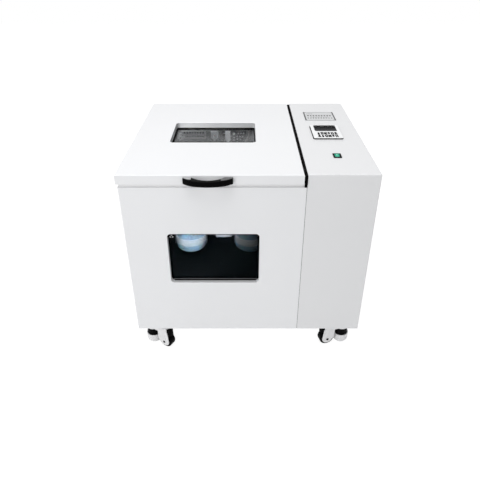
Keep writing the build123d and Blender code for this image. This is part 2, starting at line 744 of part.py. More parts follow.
with BuildPart() as label_plate:
    with BuildSketch(Plane.XY.offset(top)):
        with Locations((plate_x, plate_y)):
            RectangleRounded(plate_width, plate_depth, 3)
            with GridLocations(plate_width - 12, plate_depth - 12, 2, 2):
                Circle(1.6, mode=Mode.SUBTRACT)
    extrude(amount=1)
write(label_plate, "label_plate")

with BuildPart() as power_inlet:
    with BuildSketch(Plane.XZ.offset(-rear)):
        with Locations((inlet_x, inlet_z)):
            RectangleRounded(36, 66, 4)
    extrude(amount=-3)
    with BuildSketch(Plane.XZ.offset(-rear)):
        with Locations((inlet_x, inlet_z)):
            Rectangle(27.5, 47.5)
    extrude(amount=24)
    with BuildSketch(Plane.XZ.offset(-rear - 3)):
        with Locations((inlet_x, inlet_z)):
            RectangleRounded(17, 25, 3)
    extrude(amount=20, mode=Mode.SUBTRACT)
    with BuildSketch(Plane.XZ.offset(-rear + 17)):
        with Locations((inlet_x, inlet_z)):
            with Locations((-3, 0), (3, 7), (3, -7)):
                Rectangle(2, 4)
    extrude(amount=-16)
write(power_inlet, "power_inlet")

# Pan-head screws round the rear cover.
screw_places = [(x, z) for x in (left + 30, left + 307, control_left - 40)
                for z in (bottom + 12, rim_bottom - 12)]
screw_places += [(x, z) for x in (control_left + 40, right - 14) for z in (bottom + 12, top - 16)]
with BuildPart() as casing_screws:
    for screw_x, screw_z in screw_places:
        rod_y(screw_x, rear, rear + 2.4, screw_z, 4)
    fillet(casing_screws.edges().filter_by_position(Axis.Y, rear + 2.3, rear + 2.5), radius=1.2)
    for screw_x, screw_z in screw_places:
        block(screw_x - 3, screw_x + 3, rear + 1.4, rear + 3, screw_z - 0.5, screw_z + 0.5, Mode.SUBTRACT)
        block(screw_x - 0.5, screw_x + 0.5, rear + 1.4, rear + 3, screw_z - 3, screw_z + 3, Mode.SUBTRACT)
write(casing_screws, "casing_screws")

# ================================================================ levelling casters

plate_size = 76
plate_thickness = 4
swivel_bottom = bottom - plate_thickness - 6
with BuildPart() as caster_plates:
    for corner_x, corner_y, angle in caster_corners.values():
        with BuildSketch(Plane.XY.offset(bottom - plate_thickness)):
            with Locations((corner_x, corner_y)):
                RectangleRounded(plate_size, plate_size, 8)
        extrude(amount=plate_thickness)
        rod_z(corner_x, corner_y, swivel_bottom, bottom - plate_thickness, 24)
        with Locations((corner_x, corner_y, bottom - plate_thickness - 2.5)):
            with GridLocations(58, 58, 2, 2):
                Cylinder(5.5, 5)
        rod_z(corner_x, corner_y, swivel_bottom - 1, bottom - 1, stem_radius + 2, Mode.SUBTRACT)
write(caster_plates, "caster_plates")

cheek_thickness = 4
cheek_offset = wheel_width / 2 + 1.5
fork_half_width = cheek_offset + cheek_thickness
fork_top = swivel_bottom - 0.5
thread_pitch = 3
foot_rise = 20
foot_drop = 9
thumb_bottom = 40
thumb_top = housing_bottom - 0.5
thumb_radius = 25.5
cup_wall = 2.5
cup_floor = foot_clearance + 10
stem_top = bottom - foot_rise - 3

for corner, (corner_x, corner_y, angle) in caster_corners.items():
    # The caster's own frame: x along the trail, y across the wheel, z up.
    caster = Plane(origin=(corner_x, corner_y, 0), x_dir=(cos(radians(angle)), sin(radians(angle)), 0),
                   z_dir=(0, 0, 1))
    side = Plane(origin=caster.origin, x_dir=caster.x_dir, z_dir=-caster.y_dir)

    # Round housing, a bridge over the wheel, two cheeks and the axle between them.
    with BuildPart() as caster_fork:
        with BuildSketch(caster.offset(housing_bottom)):
            Circle(foot_radius - 2)
            with Locations((trail / 2, 0)):
                Rectangle(trail, 2 * fork_half_width)
            with Locations((trail - 2, 0)):
                Circle(fork_half_width)
        extrude(amount=fork_top - housing_bottom)
        with BuildSketch(side.offset(-fork_half_width)):
            with BuildLine():
                Polyline((foot_radius + 6, fork_top), (foot_radius + 6, wheel_radius + 8),
                         (trail - 15, wheel_radius - 3), (trail - 7, wheel_radius - 7))
                ThreePointArc((trail - 7, wheel_radius - 7), (trail + 3, wheel_radius - 9.5),
                              (trail + 10, wheel_radius + 1))
                Polyline((trail + 10, wheel_radius + 1), (trail + 3, wheel_radius + 34), (trail + 2, fork_top),
                         (foot_radius + 6, fork_top))
            make_face()
        extrude(amount=2 * fork_half_width)
        with BuildSketch(caster):
            with Locations((trail, 0)):
                Rectangle(2 * wheel_radius + 8, 2 * cheek_offset)
        extrude(amount=housing_bottom, mode=Mode.SUBTRACT)
        with BuildSketch(side.offset(-fork_half_width - 2)):
            with Locations((trail, wheel_radius)):
                Circle(axle_radius)
        extrude(amount=2 * (fork_half_width + 2))
        with BuildSketch(caster.offset(housing_bottom)):
            Circle(stem_radius + 0.5)
        extrude(amount=fork_top - housing_bottom, mode=Mode.SUBTRACT)
    write(caster_fork, f"caster_fork_{corner}")

    with BuildPart() as caster_wheel:
        with BuildSketch(side.offset(-wheel_width / 2)):
            with Locations((trail, wheel_radius)):
                Circle(wheel_radius)
        extrude(amount=wheel_width)
        fillet(caster_wheel.edges().filter_by(GeomType.CIRCLE), radius=4)
        for face_offset in (-wheel_width / 2, wheel_width / 2 - 3):
            with BuildSketch(side.offset(face_offset)):
                with Locations((trail, wheel_radius)):
                    Circle(wheel_radius - 9)
                    Circle(axle_radius + 5, mode=Mode.SUBTRACT)
            extrude(amount=3, mode=Mode.SUBTRACT)
        with BuildSketch(side.offset(-wheel_width / 2)):
            with Locations((trail, wheel_radius)):
                Circle(axle_radius + running_fit)
        extrude(amount=wheel_width, mode=Mode.SUBTRACT)
    write(caster_wheel, f"caster_wheel_{corner}")

    with BuildPart() as thumbwheel:
        with BuildSketch(caster.offset(thumb_bottom)):
            Circle(thumb_radius)
            with PolarLocations(thumb_radius + 1.5, 20):
                Circle(2.6, mode=Mode.SUBTRACT)
            Circle(stem_radius + running_fit, mode=Mode.SUBTRACT)
        extrude(amount=thumb_top - thumb_bottom)
    write(thumbwheel, f"caster_thumbwheel_{corner}")

    # Open cup with a rounded base, on the end of the threaded stem.
    with BuildPart() as foot:
        with BuildSketch(side):
            with BuildLine():
                Polyline((0, foot_clearance), (foot_radius - 9, foot_clearance))
                ThreePointArc((foot_radius - 9, foot_clearance), (foot_radius - 3, foot_clearance + 6),
                              (foot_radius, foot_clearance + 20))
                Polyline((foot_radius, foot_clearance + 20), (foot_radius, foot_clearance + foot_height),
                         (foot_radius - cup_wall, foot_clearance + foot_height),
                         (foot_radius - cup_wall, cup_floor + 6), (foot_radius - cup_wall - 6, cup_floor),
                         (stem_radius, cup_floor), (stem_radius, stem_top), (0, stem_top),
                         (0, foot_clearance))
            make_face()
        revolve(axis=Axis((corner_x, corner_y, 0), (0, 0, 1)))
    write(foot, f"caster_foot_{corner}")

print("caster thread ratio, metres per radian:", thread_pitch / 1000 / (2 * pi))
print("thumbwheel turns, raising and lowering:", foot_rise / thread_pitch, foot_drop / thread_pitch)
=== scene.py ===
import json
from math import atan2, cos, pi, radians, sin, sqrt

import bmesh
import bpy
from mathutils import Matrix, Vector


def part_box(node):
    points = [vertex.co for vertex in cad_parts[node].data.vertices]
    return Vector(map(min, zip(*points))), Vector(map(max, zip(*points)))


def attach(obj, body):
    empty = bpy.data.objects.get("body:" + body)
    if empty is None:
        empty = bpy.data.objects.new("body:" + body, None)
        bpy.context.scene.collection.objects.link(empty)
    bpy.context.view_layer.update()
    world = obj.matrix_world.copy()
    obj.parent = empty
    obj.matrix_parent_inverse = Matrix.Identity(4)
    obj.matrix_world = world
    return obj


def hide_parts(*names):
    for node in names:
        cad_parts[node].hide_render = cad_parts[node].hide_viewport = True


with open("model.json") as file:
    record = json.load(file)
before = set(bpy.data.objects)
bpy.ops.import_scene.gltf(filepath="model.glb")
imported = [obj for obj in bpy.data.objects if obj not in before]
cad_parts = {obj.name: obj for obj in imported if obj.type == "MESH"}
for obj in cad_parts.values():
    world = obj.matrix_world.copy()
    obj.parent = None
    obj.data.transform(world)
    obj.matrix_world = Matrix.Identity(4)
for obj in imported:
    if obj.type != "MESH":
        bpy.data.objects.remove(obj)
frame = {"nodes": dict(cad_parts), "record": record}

scene = bpy.context.scene
nodes = frame["nodes"]
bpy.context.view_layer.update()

# ---------------- places on the cabinet, in metres

control_low, control_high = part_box("control_casing")
lid_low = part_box("lid_shell")[0]
top = control_high.z
front = control_low.y
rear = control_high.y
left = lid_low.x
right = control_high.x
bottom = control_low.z


def centre(low, high):
    """The middle of a box, as three numbers."""
    return [(a + b) / 2 for a, b in zip(low, high)]


# ---------------- finishes


def add(tree, kind, inputs=None, output=0, **settings):
    """One output of a new node. An input takes a number, a colour or another node's output."""
    node = tree.nodes.new(kind)
    for key, value in settings.items():
        setattr(node, key, value)
    for key, value in (inputs or {}).items():
        if isinstance(value, bpy.types.NodeSocket):
            tree.links.new(value, node.inputs[key])
        else:
            node.inputs[key].default_value = value
    return node.outputs[output]


def grey(level):
    return (level, level, level, 1.0)


def shade(colour, factor, added=0.0, most=1.0):
    """A colour made darker or lighter, up to a limit."""
    return tuple(min(channel * factor + added, most) for channel in colour)


def noise(tree, place, scale, detail=3.0, roughness=0.55):
    return add(tree, "ShaderNodeTexNoise", {"Vector": place, "Scale": scale, "Detail": detail,
                                            "Roughness": roughness}, "Fac")


def arithmetic(tree, operation, first, second=0.0):
    return add(tree, "ShaderNodeMath", {0: first, 1: second}, operation=operation)


def mixed(tree, share, low, high):
    """A colour between two colours."""
    low, high = ((*c, 1.0) if isinstance(c, tuple) and len(c) == 3 else c for c in (low, high))
    return add(tree, "ShaderNodeMix", {0: share, 6: low, 7: high}, 2, data_type="RGBA")


class Finish:
    """A surface finish: colour that drifts a little, uneven gloss and a fine relief."""

    def __init__(self, name, colour, roughness, metal=0.0, drift=0.04, drift_scale=18.0, grain=600.0,
                 depth=0.00005, stretch=(1.0, 1.0, 1.0), uneven=0.06, gloss=0.5, **plain):
        self.material = bpy.data.materials.new(name)
        self.material.use_nodes = True
        self.tree = self.material.node_tree
        self.shader = self.tree.nodes["Principled BSDF"]
        self.place = add(self.tree, "ShaderNodeTexCoord", output="Object")
        self.grain_place = add(self.tree, "ShaderNodeMapping", {"Vector": self.place, "Scale": stretch})
        broad = self.noise(drift_scale, 4.0)
        self.colour_is(mixed(self.tree, self.ramp(broad, 0.3, 0.7), shade(colour, 1 - drift),
                             shade(colour, 1 + drift)))
        self.roughness_is(self.ramp(self.noise(grain / 9, stretched=True), 0.25, 0.75,
                                    max(roughness - uneven, 0.02), min(roughness + uneven, 1.0)))
        self.relief = None
        self.raise_by(self.noise(grain, 2.0, stretched=True), depth)
        for key, value in {"Metallic": metal, "Specular IOR Level": gloss, **plain}.items():
            self.shader.inputs[key.replace("_", " ").title() if key in plain else key].default_value = value

    def noise(self, scale, detail=3.0, roughness=0.55, stretched=False):
        return noise(self.tree, self.grain_place if stretched else self.place, scale, detail, roughness)

    def ramp(self, value, low, high, out_low=0.0, out_high=1.0):
        return add(self.tree, "ShaderNodeMapRange", {0: value, 1: low, 2: high, 3: out_low, 4: out_high})

    def times(self, first, second):
        return arithmetic(self.tree, "MULTIPLY", first, second)

    def patches(self, share, scale, low, high, detail=5.0, roughness=0.7):
        """Uneven patches: 0 between them, rising to the share inside them."""
        return self.times(self.ramp(self.noise(scale, detail, roughness), low, high), share)

    def link(self, output, socket):
        self.tree.links.new(output, self.shader.inputs[socket])

    def colour_is(self, output):
        self.link(output, "Base Color")
        self.colour = output

    def roughness_is(self, output):
        self.link(output, "Roughness")
        self.rough = output

    def raise_by(self, height, depth):
        """Adds one more relief over those already there."""
        inputs = {"Height": height, "Distance": depth, "Strength": 1.0}
        if self.relief is not None:
            inputs["Normal"] = self.relief
        self.relief = add(self.tree, "ShaderNodeBump", inputs)
        self.link(self.relief, "Normal")

    def overlay(self, share, colour, roughness=None):
        """Lays another colour over a share of the surface, with its own roughness if one is given."""
        self.colour_is(mixed(self.tree, share, self.colour, colour))
        if roughness is not None:
            self.roughness_is(add(self.tree, "ShaderNodeMix", {0: share, 2: self.rough, 3: roughness},
                                  data_type="FLOAT"))

    def axis(self, letter):
        """The place along X, Y or Z in metres."""
        return add(self.tree, "ShaderNodeSeparateXYZ", {0: self.place}, letter)


def powder_coat(name, colour):
    """Sprayed paint with orange peel, a slight wave and a few faint smears."""
    coat = Finish(name, colour, 0.42, drift=0.008, drift_scale=2.5, grain=420.0, depth=0.00006, uneven=0.05,
                  coat_weight=0.12, coat_roughness=0.22)
    coat.raise_by(coat.noise(5.0, 1.0), 0.0006)
    coat.overlay(coat.patches(0.05, 9.0, 0.62, 0.74), (0.66, 0.66, 0.65), 0.5)
    return coat


def brushed(name, colour, roughness, stretch, metal=1.0):
    """Metal with fine lines along the axis that has the small stretch."""
    lined = Finish(name, colour, roughness, metal, drift=0.05, drift_scale=6.0, grain=900.0, depth=0.00003,
                   stretch=stretch, uneven=0.1)
    lines = lined.noise(300.0, 2.0, stretched=True)
    lined.overlay(lined.ramp(lines, 0.55, 0.75, 0.0, 0.25), shade(colour, 0.8))
    return lined


def spangled(name, colour):
    """Zinc coat with crystals a few millimetres wide."""
    zinc = Finish(name, colour, 0.42, metal=0.9, drift=0.05, grain=350.0, depth=0.00003)
    crystals = add(zinc.tree, "ShaderNodeTexVoronoi", {"Vector": zinc.place, "Scale": 160.0}, "Color")
    tone = add(zinc.tree, "ShaderNodeSeparateColor", {0: crystals})
    zinc.overlay(zinc.ramp(tone, 0.0, 1.0, 0.0, 0.35), shade(colour, 0.72), 0.5)
    return zinc


def moulded(name, colour, roughness, **plain):
    """Moulded plastic with a fine spark-eroded texture, faint flow marks and a little dust."""
    plastic = Finish(name, colour, roughness, drift=0.05, drift_scale=40.0, grain=1800.0, depth=0.00004,
                     **plain)
    plastic.raise_by(plastic.noise(90.0, 2.0), 0.00004)
    plastic.overlay(plastic.patches(0.08, 220.0, 0.62, 0.8, 6.0), shade(colour, 1, 0.07, 0.6), 0.6)
    return plastic


def rubber(name, colour):
    """Dull rubber with a pale bloom."""
    skin = Finish(name, colour, 0.62, drift=0.2, drift_scale=60.0, grain=1300.0, depth=0.00006, uneven=0.1,
                  gloss=0.01)
    skin.overlay(skin.patches(0.15, 130.0, 0.55, 0.8), shade(colour, 1, 0.05), 0.8)
    return skin


def cast_coat(name, colour, roughness, metal=0.0):
    """Coated casting with small pits, and a little dirt near the floor."""
    cast = Finish(name, colour, roughness, metal, drift=0.03, drift_scale=45.0, grain=500.0, depth=0.00012)
    cast.overlay(cast.patches(0.15, 700.0, 0.6, 0.75, roughness=0.75), shade(colour, 0.7), 0.7)
    dirt = cast.ramp(cast.axis("Z"), 0.05, 0.0)
    patches = cast.ramp(cast.noise(110.0, 5.0), 0.45, 0.7)
    cast.overlay(cast.times(cast.times(dirt, patches), 0.15), (0.34, 0.33, 0.32), 0.75)
    return cast


def pane(name, colour, clearness, mirror, metal=0.0):
    """Sheet glass: mostly see-through face on, more mirror-like at a slant, with faint wipe marks."""
    glass = Finish(name, colour, 0.06, metal, drift=0.05, drift_scale=4.0, grain=60.0, depth=0.000004,
                   uneven=0.03, gloss=mirror)
    facing_away = add(glass.tree, "ShaderNodeLayerWeight", {"Blend": 0.5}, "Facing")
    slant = glass.times(arithmetic(glass.tree, "POWER", facing_away, 4.0), 0.25)
    wipes = glass.ramp(glass.noise(16.0, 5.0, 0.7, True), 0.5, 0.8, 0.0, 0.015)
    cover = arithmetic(glass.tree, "ADD", arithmetic(glass.tree, "ADD", slant, 1.0 - clearness), wipes)
    glass.link(add(glass.tree, "ShaderNodeClamp", {0: cover, 1: 0.0, 2: 1.0}), "Alpha")
    return glass


def lit_green():
    """Green rocker, lit from inside and brightest at its middle."""
    glow = Finish("rocker_green_lit", (0.01, 0.20, 0.13), 0.22, drift=0.05, drift_scale=200.0, grain=1500.0,
                  depth=0.00002, gloss=0.2, emission_strength=0.6)
    low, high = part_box("switch_rocker")
    middle = (*centre(low, high)[:2], high.z)
    reach = add(glow.tree, "ShaderNodeVectorMath", {0: glow.place, 1: middle}, "Value", operation="DISTANCE")
    spread = glow.ramp(reach, 0.003, 0.011, 1.0, 0.0)
    glow.link(mixed(glow.tree, spread, (0.0, 0.07, 0.045), (0.10, 0.75, 0.48)), "Emission Color")
    return glow


def dark_lens():
    """Black lens that is a little lighter toward its front edge."""
    lens = moulded("display_lens_dark", (0.001, 0.001, 0.0015), 0.14, gloss=0.004)
    low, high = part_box("display_lens")
    forward = arithmetic(lens.tree, "POWER", lens.ramp(lens.axis("Y"), high.y - 0.004, low.y), 1.6)
    lens.overlay(forward, (0.088, 0.089, 0.093))
    return lens


def controller_case():
    """Dark case with a white face: the colour changes at the step just under the face."""
    case = Finish("controller_case_two_tone", (0.90, 0.91, 0.92), 0.35, drift=0.01, grain=1500.0,
                  depth=0.00002, coat_weight=0.2)
    step_low, step_high = top + 0.0050, top + 0.0052
    case.overlay(case.ramp(case.axis("Z"), step_low, step_high, 1.0, 0.0), (0.012, 0.0125, 0.013), 0.5)
    return case


def chamber_steel():
    """Brushed steel of the chamber lining, kept dark and darkened further toward the chamber floor: painted
    shade for the unlit chamber.
    """
    steel = brushed("stainless_brushed_liner", (0.13, 0.134, 0.138), 0.45, along_x, metal=0.85)
    # Painted shade: the lining grows darker toward the chamber floor, where the unlit chamber lies in shade.
    depth = steel.ramp(steel.axis("Z"), top - 0.16, top - 0.36)
    steel.overlay(steel.times(depth, 0.85), (0.018, 0.022, 0.026))
    return steel


along_x, even = (0.06, 1.0, 1.0), (1.0, 1.0, 1.0)
finishes = {
    "white_paint": powder_coat("powder_coat_white", (0.845, 0.852, 0.868)),
    "galvanised": spangled("zinc_plated_sheet", (0.60, 0.61, 0.62)),
    "stainless": chamber_steel(),
    "insulation": Finish("mineral_wool", (0.80, 0.76, 0.62), 0.95, drift=0.12, grain=240.0, depth=0.001,
                         stretch=(1.0, 0.3, 1.0)),
    "black_rubber": rubber("seal_rubber_black", (0.003, 0.003, 0.0032)),
    "tinted_glass": pane("window_glass_tinted", (0.001, 0.003, 0.004), 0.70, 0.02),
    "clear_glass": pane("window_glass_clear", (0.80, 0.82, 0.84), 0.996, 0.5, 1.0),
    "black_metal": moulded("black_coated_steel", (0.010, 0.010, 0.011), 0.42, gloss=0.1),
    "steel": brushed("ground_steel", (0.60, 0.60, 0.61), 0.26, (1.0, 1.0, 0.1)),
    "cast_housing": cast_coat("bearing_casting_grey", (0.30, 0.31, 0.32), 0.5, 0.6),
    "motor_paint": moulded("motor_enamel_grey", (0.16, 0.18, 0.20), 0.4),
    "heater_steel": brushed("heater_sheath_dark", (0.22, 0.21, 0.20), 0.45, even),
    "white_plastic": controller_case(),
    "dark_lens": dark_lens(),
    "keypad_film": moulded("keypad_film_satin", (0.86, 0.87, 0.88), 0.4),
    "black_plastic": moulded("black_moulded", (0.002, 0.002, 0.0022), 0.38, gloss=0.03),
    "plate_metal": brushed("satin_aluminium_plate", (0.66, 0.67, 0.68), 0.42, (0.05, 1.0, 1.0), metal=0.3),
    "black_gloss": moulded("handle_gloss_black", (0.001, 0.001, 0.001), 0.26, gloss=0.03),
    "frame_steel": brushed("rotor_frame_steel", (0.70, 0.71, 0.72), 0.32, (1.0, 1.0, 0.08)),
    "clamp_white": cast_coat("clamp_coat_white", (0.88, 0.90, 0.92), 0.35),
    "bottle_plastic": Finish("bottle_translucent_blue", (0.42, 0.59, 0.70), 0.30, drift=0.05,
                             drift_scale=25.0, grain=500.0, depth=0.00004, subsurface_weight=0.35,
                             subsurface_scale=0.02, coat_weight=0.25),
    "cap_plastic": moulded("cap_moulded_pale", (0.84, 0.87, 0.90), 0.4),
    "pulley_metal": brushed("turned_aluminium", (0.62, 0.63, 0.64), 0.3, even),
    "impeller_metal": brushed("pressed_aluminium", (0.50, 0.51, 0.52), 0.35, (1.0, 1.0, 0.2)),
    "green_plastic": lit_green(),
    "caster_cast": cast_coat("caster_coat_pale", (0.84, 0.84, 0.85), 0.36),
    "wheel_nylon": moulded("wheel_nylon_black", (0.001, 0.001, 0.0012), 0.32, gloss=0.03),
    "foot_metal": cast_coat("foot_cast_pale", (0.82, 0.82, 0.83), 0.34, 0.1),
}
# Painted shade: the control casing gets a darker copy of the white paint, standing for the shade on its
# faces.
control_paint_shaded = powder_coat("powder_coat_control_shaded", (0.785, 0.790, 0.802))
for subpart in frame["record"]["subparts"]:
    finish = control_paint_shaded if subpart["node"] == "control_casing" else finishes[subpart["material_slot"]]
    for material_slot in nodes[subpart["node"]].material_slots:
        material_slot.material = finish.material

# ---------------- shapes

SHARP = radians(32)


def facing(origin, upward, along):
    """A frame at a point with its Z along upward and its X as near along as it can be."""
    z = Vector(upward).normalized()
    y = z.cross(Vector(along)).normalized()
    x = y.cross(z)
    turned = Matrix((x, y, z)).transposed().to_4x4()
    turned.translation = Vector(origin)
    return turned


def rounded(width, depth, radius, steps=5, middle=(0.0, 0.0)):
    """A rectangle outline with rounded corners."""
    points = []
    for k, (sx, sy) in enumerate(((1, 1), (-1, 1), (-1, -1), (1, -1))):
        for i in range(steps + 1):
            angle = pi / 2 * (k + i / steps)
            points.append((middle[0] + sx * (width / 2 - radius) + radius * cos(angle),
                           middle[1] + sy * (depth / 2 - radius) + radius * sin(angle)))
    return points


def polygon(radius, sides, middle=(0.0, 0.0)):
    return [(middle[0] + radius * cos(2 * pi * k / sides),
             middle[1] + radius * sin(2 * pi * k / sides)) for k in range(sides)]


def four(across, along):
    """The four corners at a distance either side of a middle."""
    return [(sx * across, sy * along) for sx in (-1, 1) for sy in (-1, 1)]


def loop(mesh, outline, height, place):
    """New corners along a flat outline at a height."""
    return [mesh.verts.new(place @ Vector((x, y, height))) for x, y in outline]


def quads(mesh, loops, closed=True):
    """Joins each line of corners to the next one with four-sided faces."""
    for first, second in zip(loops, loops[1:]):
        count = len(first)
        for i in range(count if closed else count - 1):
            j = (i + 1) % count
            mesh.faces.new((first[i], first[j], second[j], second[i]))


def prism(mesh, outline, low, high, place=Matrix()):
    """A closed prism over a flat outline given as (x, y) points."""
    floor_loop, roof_loop = (loop(mesh, outline, z, place) for z in (low, high))
    mesh.faces.new(list(reversed(floor_loop)))
    mesh.faces.new(roof_loop)
    quads(mesh, [floor_loop, roof_loop])
    return mesh


def lathe(mesh, profile, steps, place=Matrix()):
    """A closed turned shape from (radius, height) points that begin and end on the axis."""
    rings = [loop(mesh, polygon(radius, steps) if radius else [(0, 0)], height, place)
             for radius, height in profile]
    for first, second in zip(rings, rings[1:]):
        if len(first) == len(second):
            quads(mesh, [first, second])
            continue
        for i in range(steps):
            j = (i + 1) % steps
            if len(first) == 1:
                mesh.faces.new((first[0], second[j], second[i]))
            else:
                mesh.faces.new((first[i], first[j], second[0]))
    return mesh


def ring(mesh, profile, steps, place=Matrix()):
    """A closed turned ring from a loop of (radius, height) points off the axis."""
    loops = [loop(mesh, polygon(radius, steps), height, place) for radius, height in profile]
    quads(mesh, loops + loops[:1])
    return mesh


def frame_ring(mesh, outer, inner, low, high, place=Matrix(), closed=True):
    """A flat frame between two lines with the same number of points. An open one is capped at both ends."""
    loops = [loop(mesh, outline, z, place)
             for outline, z in ((outer, low), (outer, high), (inner, high), (inner, low))]
    quads(mesh, loops + loops[:1], closed)
    if not closed:
        mesh.faces.new([line[0] for line in loops])
        mesh.faces.new([line[-1] for line in reversed(loops)])
    return mesh


def soften(mesh, width, segments=2, angle=0.5):
    """Bevels the edges that are sharper than an angle."""
    bmesh.ops.recalc_face_normals(mesh, faces=mesh.faces)
    edges = [e for e in mesh.edges if len(e.link_faces) == 2 and e.calc_face_angle(0.0) > angle]
    bmesh.ops.bevel(mesh, geom=edges, offset=width, segments=segments, profile=0.6, affect="EDGES",
                    clamp_overlap=True)
    return mesh


def mesh_data(name, mesh):
    """A finished shape as mesh data, smooth but for its sharp edges."""
    bmesh.ops.recalc_face_normals(mesh, faces=mesh.faces)
    data = bpy.data.meshes.new(name)
    mesh.to_mesh(data)
    mesh.free()
    data.shade_smooth()
    data.set_sharp_from_angle(angle=SHARP)
    return data


def linked(name, data):
    """A new object in the scene."""
    made = bpy.data.objects.new(name, data)
    scene.collection.objects.link(made)
    return made


def piece(name, mesh, slot, finish=None, bevel=(), body="cabinet"):
    """Turns a finished shape into an object that rides on a body. A bevel is a width and its segments."""
    if bevel:
        soften(mesh, *bevel)
    made = linked(name, mesh_data(name, mesh))
    made.data.materials.append((finish or finishes[slot]).material)
    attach(made, body)
    return made


def slab(name, outline, low, high, slot, finish=None, bevel=(), body="cabinet", place=Matrix()):
    """A piece that is one prism."""
    return piece(name, prism(bmesh.new(), outline, low, high, place), slot, finish, bevel, body)


# ---------------- repeated pieces

to_rear, to_front = (-pi / 2, 0.0, 0.0), (pi / 2, 0.0, 0.0)
to_right, to_left = (0.0, pi / 2, 0.0), (0.0, -pi / 2, 0.0)
to_roof, to_floor = (0.0, 0.0, 0.0), (pi, 0.0, 0.0)


def repeat_tree(name, layout):
    """A node tree that sets one shape on a row, a ring or given points, with its sizes as named inputs."""
    tree = bpy.data.node_groups.new(name, "GeometryNodeTree")
    for socket, kind in (("Geometry", "Geometry"), ("Shape", "Object"), ("Finish", "Material"),
                         ("Count", "Int"), ("Radius", "Float"), ("Pitch", "Vector"), ("Turn", "Vector")):
        tree.interface.new_socket(socket, in_out="INPUT", socket_type="NodeSocket" + kind)
    tree.interface.new_socket("Geometry", in_out="OUTPUT", socket_type="NodeSocketGeometry")
    given = tree.nodes.new("NodeGroupInput").outputs
    shape = add(tree, "GeometryNodeObjectInfo", {"Object": given["Shape"]}, "Geometry")
    points, turn = given["Geometry"], given["Turn"]
    if layout == "ring":
        points = add(tree, "GeometryNodeMeshCircle", {"Vertices": given["Count"], "Radius": given["Radius"]})
        number = add(tree, "GeometryNodeInputIndex")
        step = arithmetic(tree, "DIVIDE", 2 * pi, given["Count"])
        spin = add(tree, "ShaderNodeCombineXYZ", {"Z": arithmetic(tree, "MULTIPLY", number, step)})
        turn = add(tree, "ShaderNodeVectorMath", {0: spin, 1: turn}, operation="ADD")
    elif layout == "row":
        points = add(tree, "GeometryNodeMeshLine", {"Count": given["Count"], "Offset": given["Pitch"]})
    placed = add(tree, "GeometryNodeInstanceOnPoints",
                 {"Points": points, "Instance": shape, "Rotation": turn})
    whole = add(tree, "GeometryNodeRealizeInstances", {"Geometry": placed})
    finished = add(tree, "GeometryNodeSetMaterial", {"Geometry": whole, "Material": given["Finish"]})
    tree.links.new(finished, tree.nodes.new("NodeGroupOutput").inputs["Geometry"])
    return tree


trees = {layout: repeat_tree(f"repeat_on_{layout}", layout) for layout in ("ring", "row", "points")}


def repeated(name, shape, layout, body, slot, place=Matrix(), points=(), finish=None, **sizes):
    """Repeats a shape with a node tree, then keeps the result as one plain mesh."""
    single = linked(name + "_shape", mesh_data(name + "_shape", shape))
    start = bpy.data.meshes.new(name + "_points")
    start.from_pydata([tuple(point) for point in points], [], [])
    made = linked(name, start)
    modifier = made.modifiers.new("repeat", "NODES")
    modifier.node_group = trees[layout]
    values = {"Shape": single, "Finish": (finish or finishes[slot]).material, **sizes}
    for item in trees[layout].interface.items_tree:
        if item.in_out == "INPUT" and item.name in values:
            modifier[item.identifier] = values[item.name]
    bpy.context.view_layer.update()
    result = bpy.data.meshes.new_from_object(made.evaluated_get(bpy.context.evaluated_depsgraph_get()))
    made.modifiers.clear()
    made.data = result
    result.transform(place)
    bpy.data.objects.remove(single)
    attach(made, body)
    return made


def fasteners(name, shape, turn, points, finish=None, body="cabinet"):
    """Screws or bolts of one kind at given points, with their heads turned one way."""
    repeated(name, shape, "points", body, "steel", points=points, finish=finish, Turn=turn)


def pan_screw(radius, height):
    """A screw's pan head."""
    return lathe(bmesh.new(), [(0, 0), (radius, 0), (radius, height * 0.45), (radius * 0.86, height * 0.8),
                               (radius * 0.55, height), (0, height * 1.04)], 20)


def hex_bolt(radius, height):
    """A hexagon head on its washer."""
    wide, thick = radius * 1.35, height * 0.25
    mesh = lathe(bmesh.new(), [(0, 0), (wide, 0), (wide, thick), (0, thick)], 20)
    return soften(prism(mesh, polygon(radius, 6), thick, height), height * 0.08, 1)


# ---------------- lid handle

grip_low, grip_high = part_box("lid_handle")
grip_x = centre(grip_low, grip_high)[0]
grip_half = (grip_high.x - grip_low.x) / 2
bow_half, bow_reach, bow_radius = 0.063, 0.036, 0.1592
hand_half, hand_reach, hand_radius = 0.054, 0.023, 0.0749
shoulder_reach = 0.023


def sag(radius, x):
    """How far an arc falls back at a distance from its middle."""
    return radius - sqrt(radius ** 2 - x * x)


def outer_reach(x):
    """How far the grip stands out from the lid at a distance from its middle."""
    if abs(x) > bow_half:
        return shoulder_reach - (abs(x) - bow_half) * 13 / 17
    return bow_reach - sag(bow_radius, x)


def inner_reach(x):
    """How far the hand space stands out from the lid at a distance from the grip's middle."""
    return 0.0 if abs(x) > hand_half else hand_reach - sag(hand_radius, x)


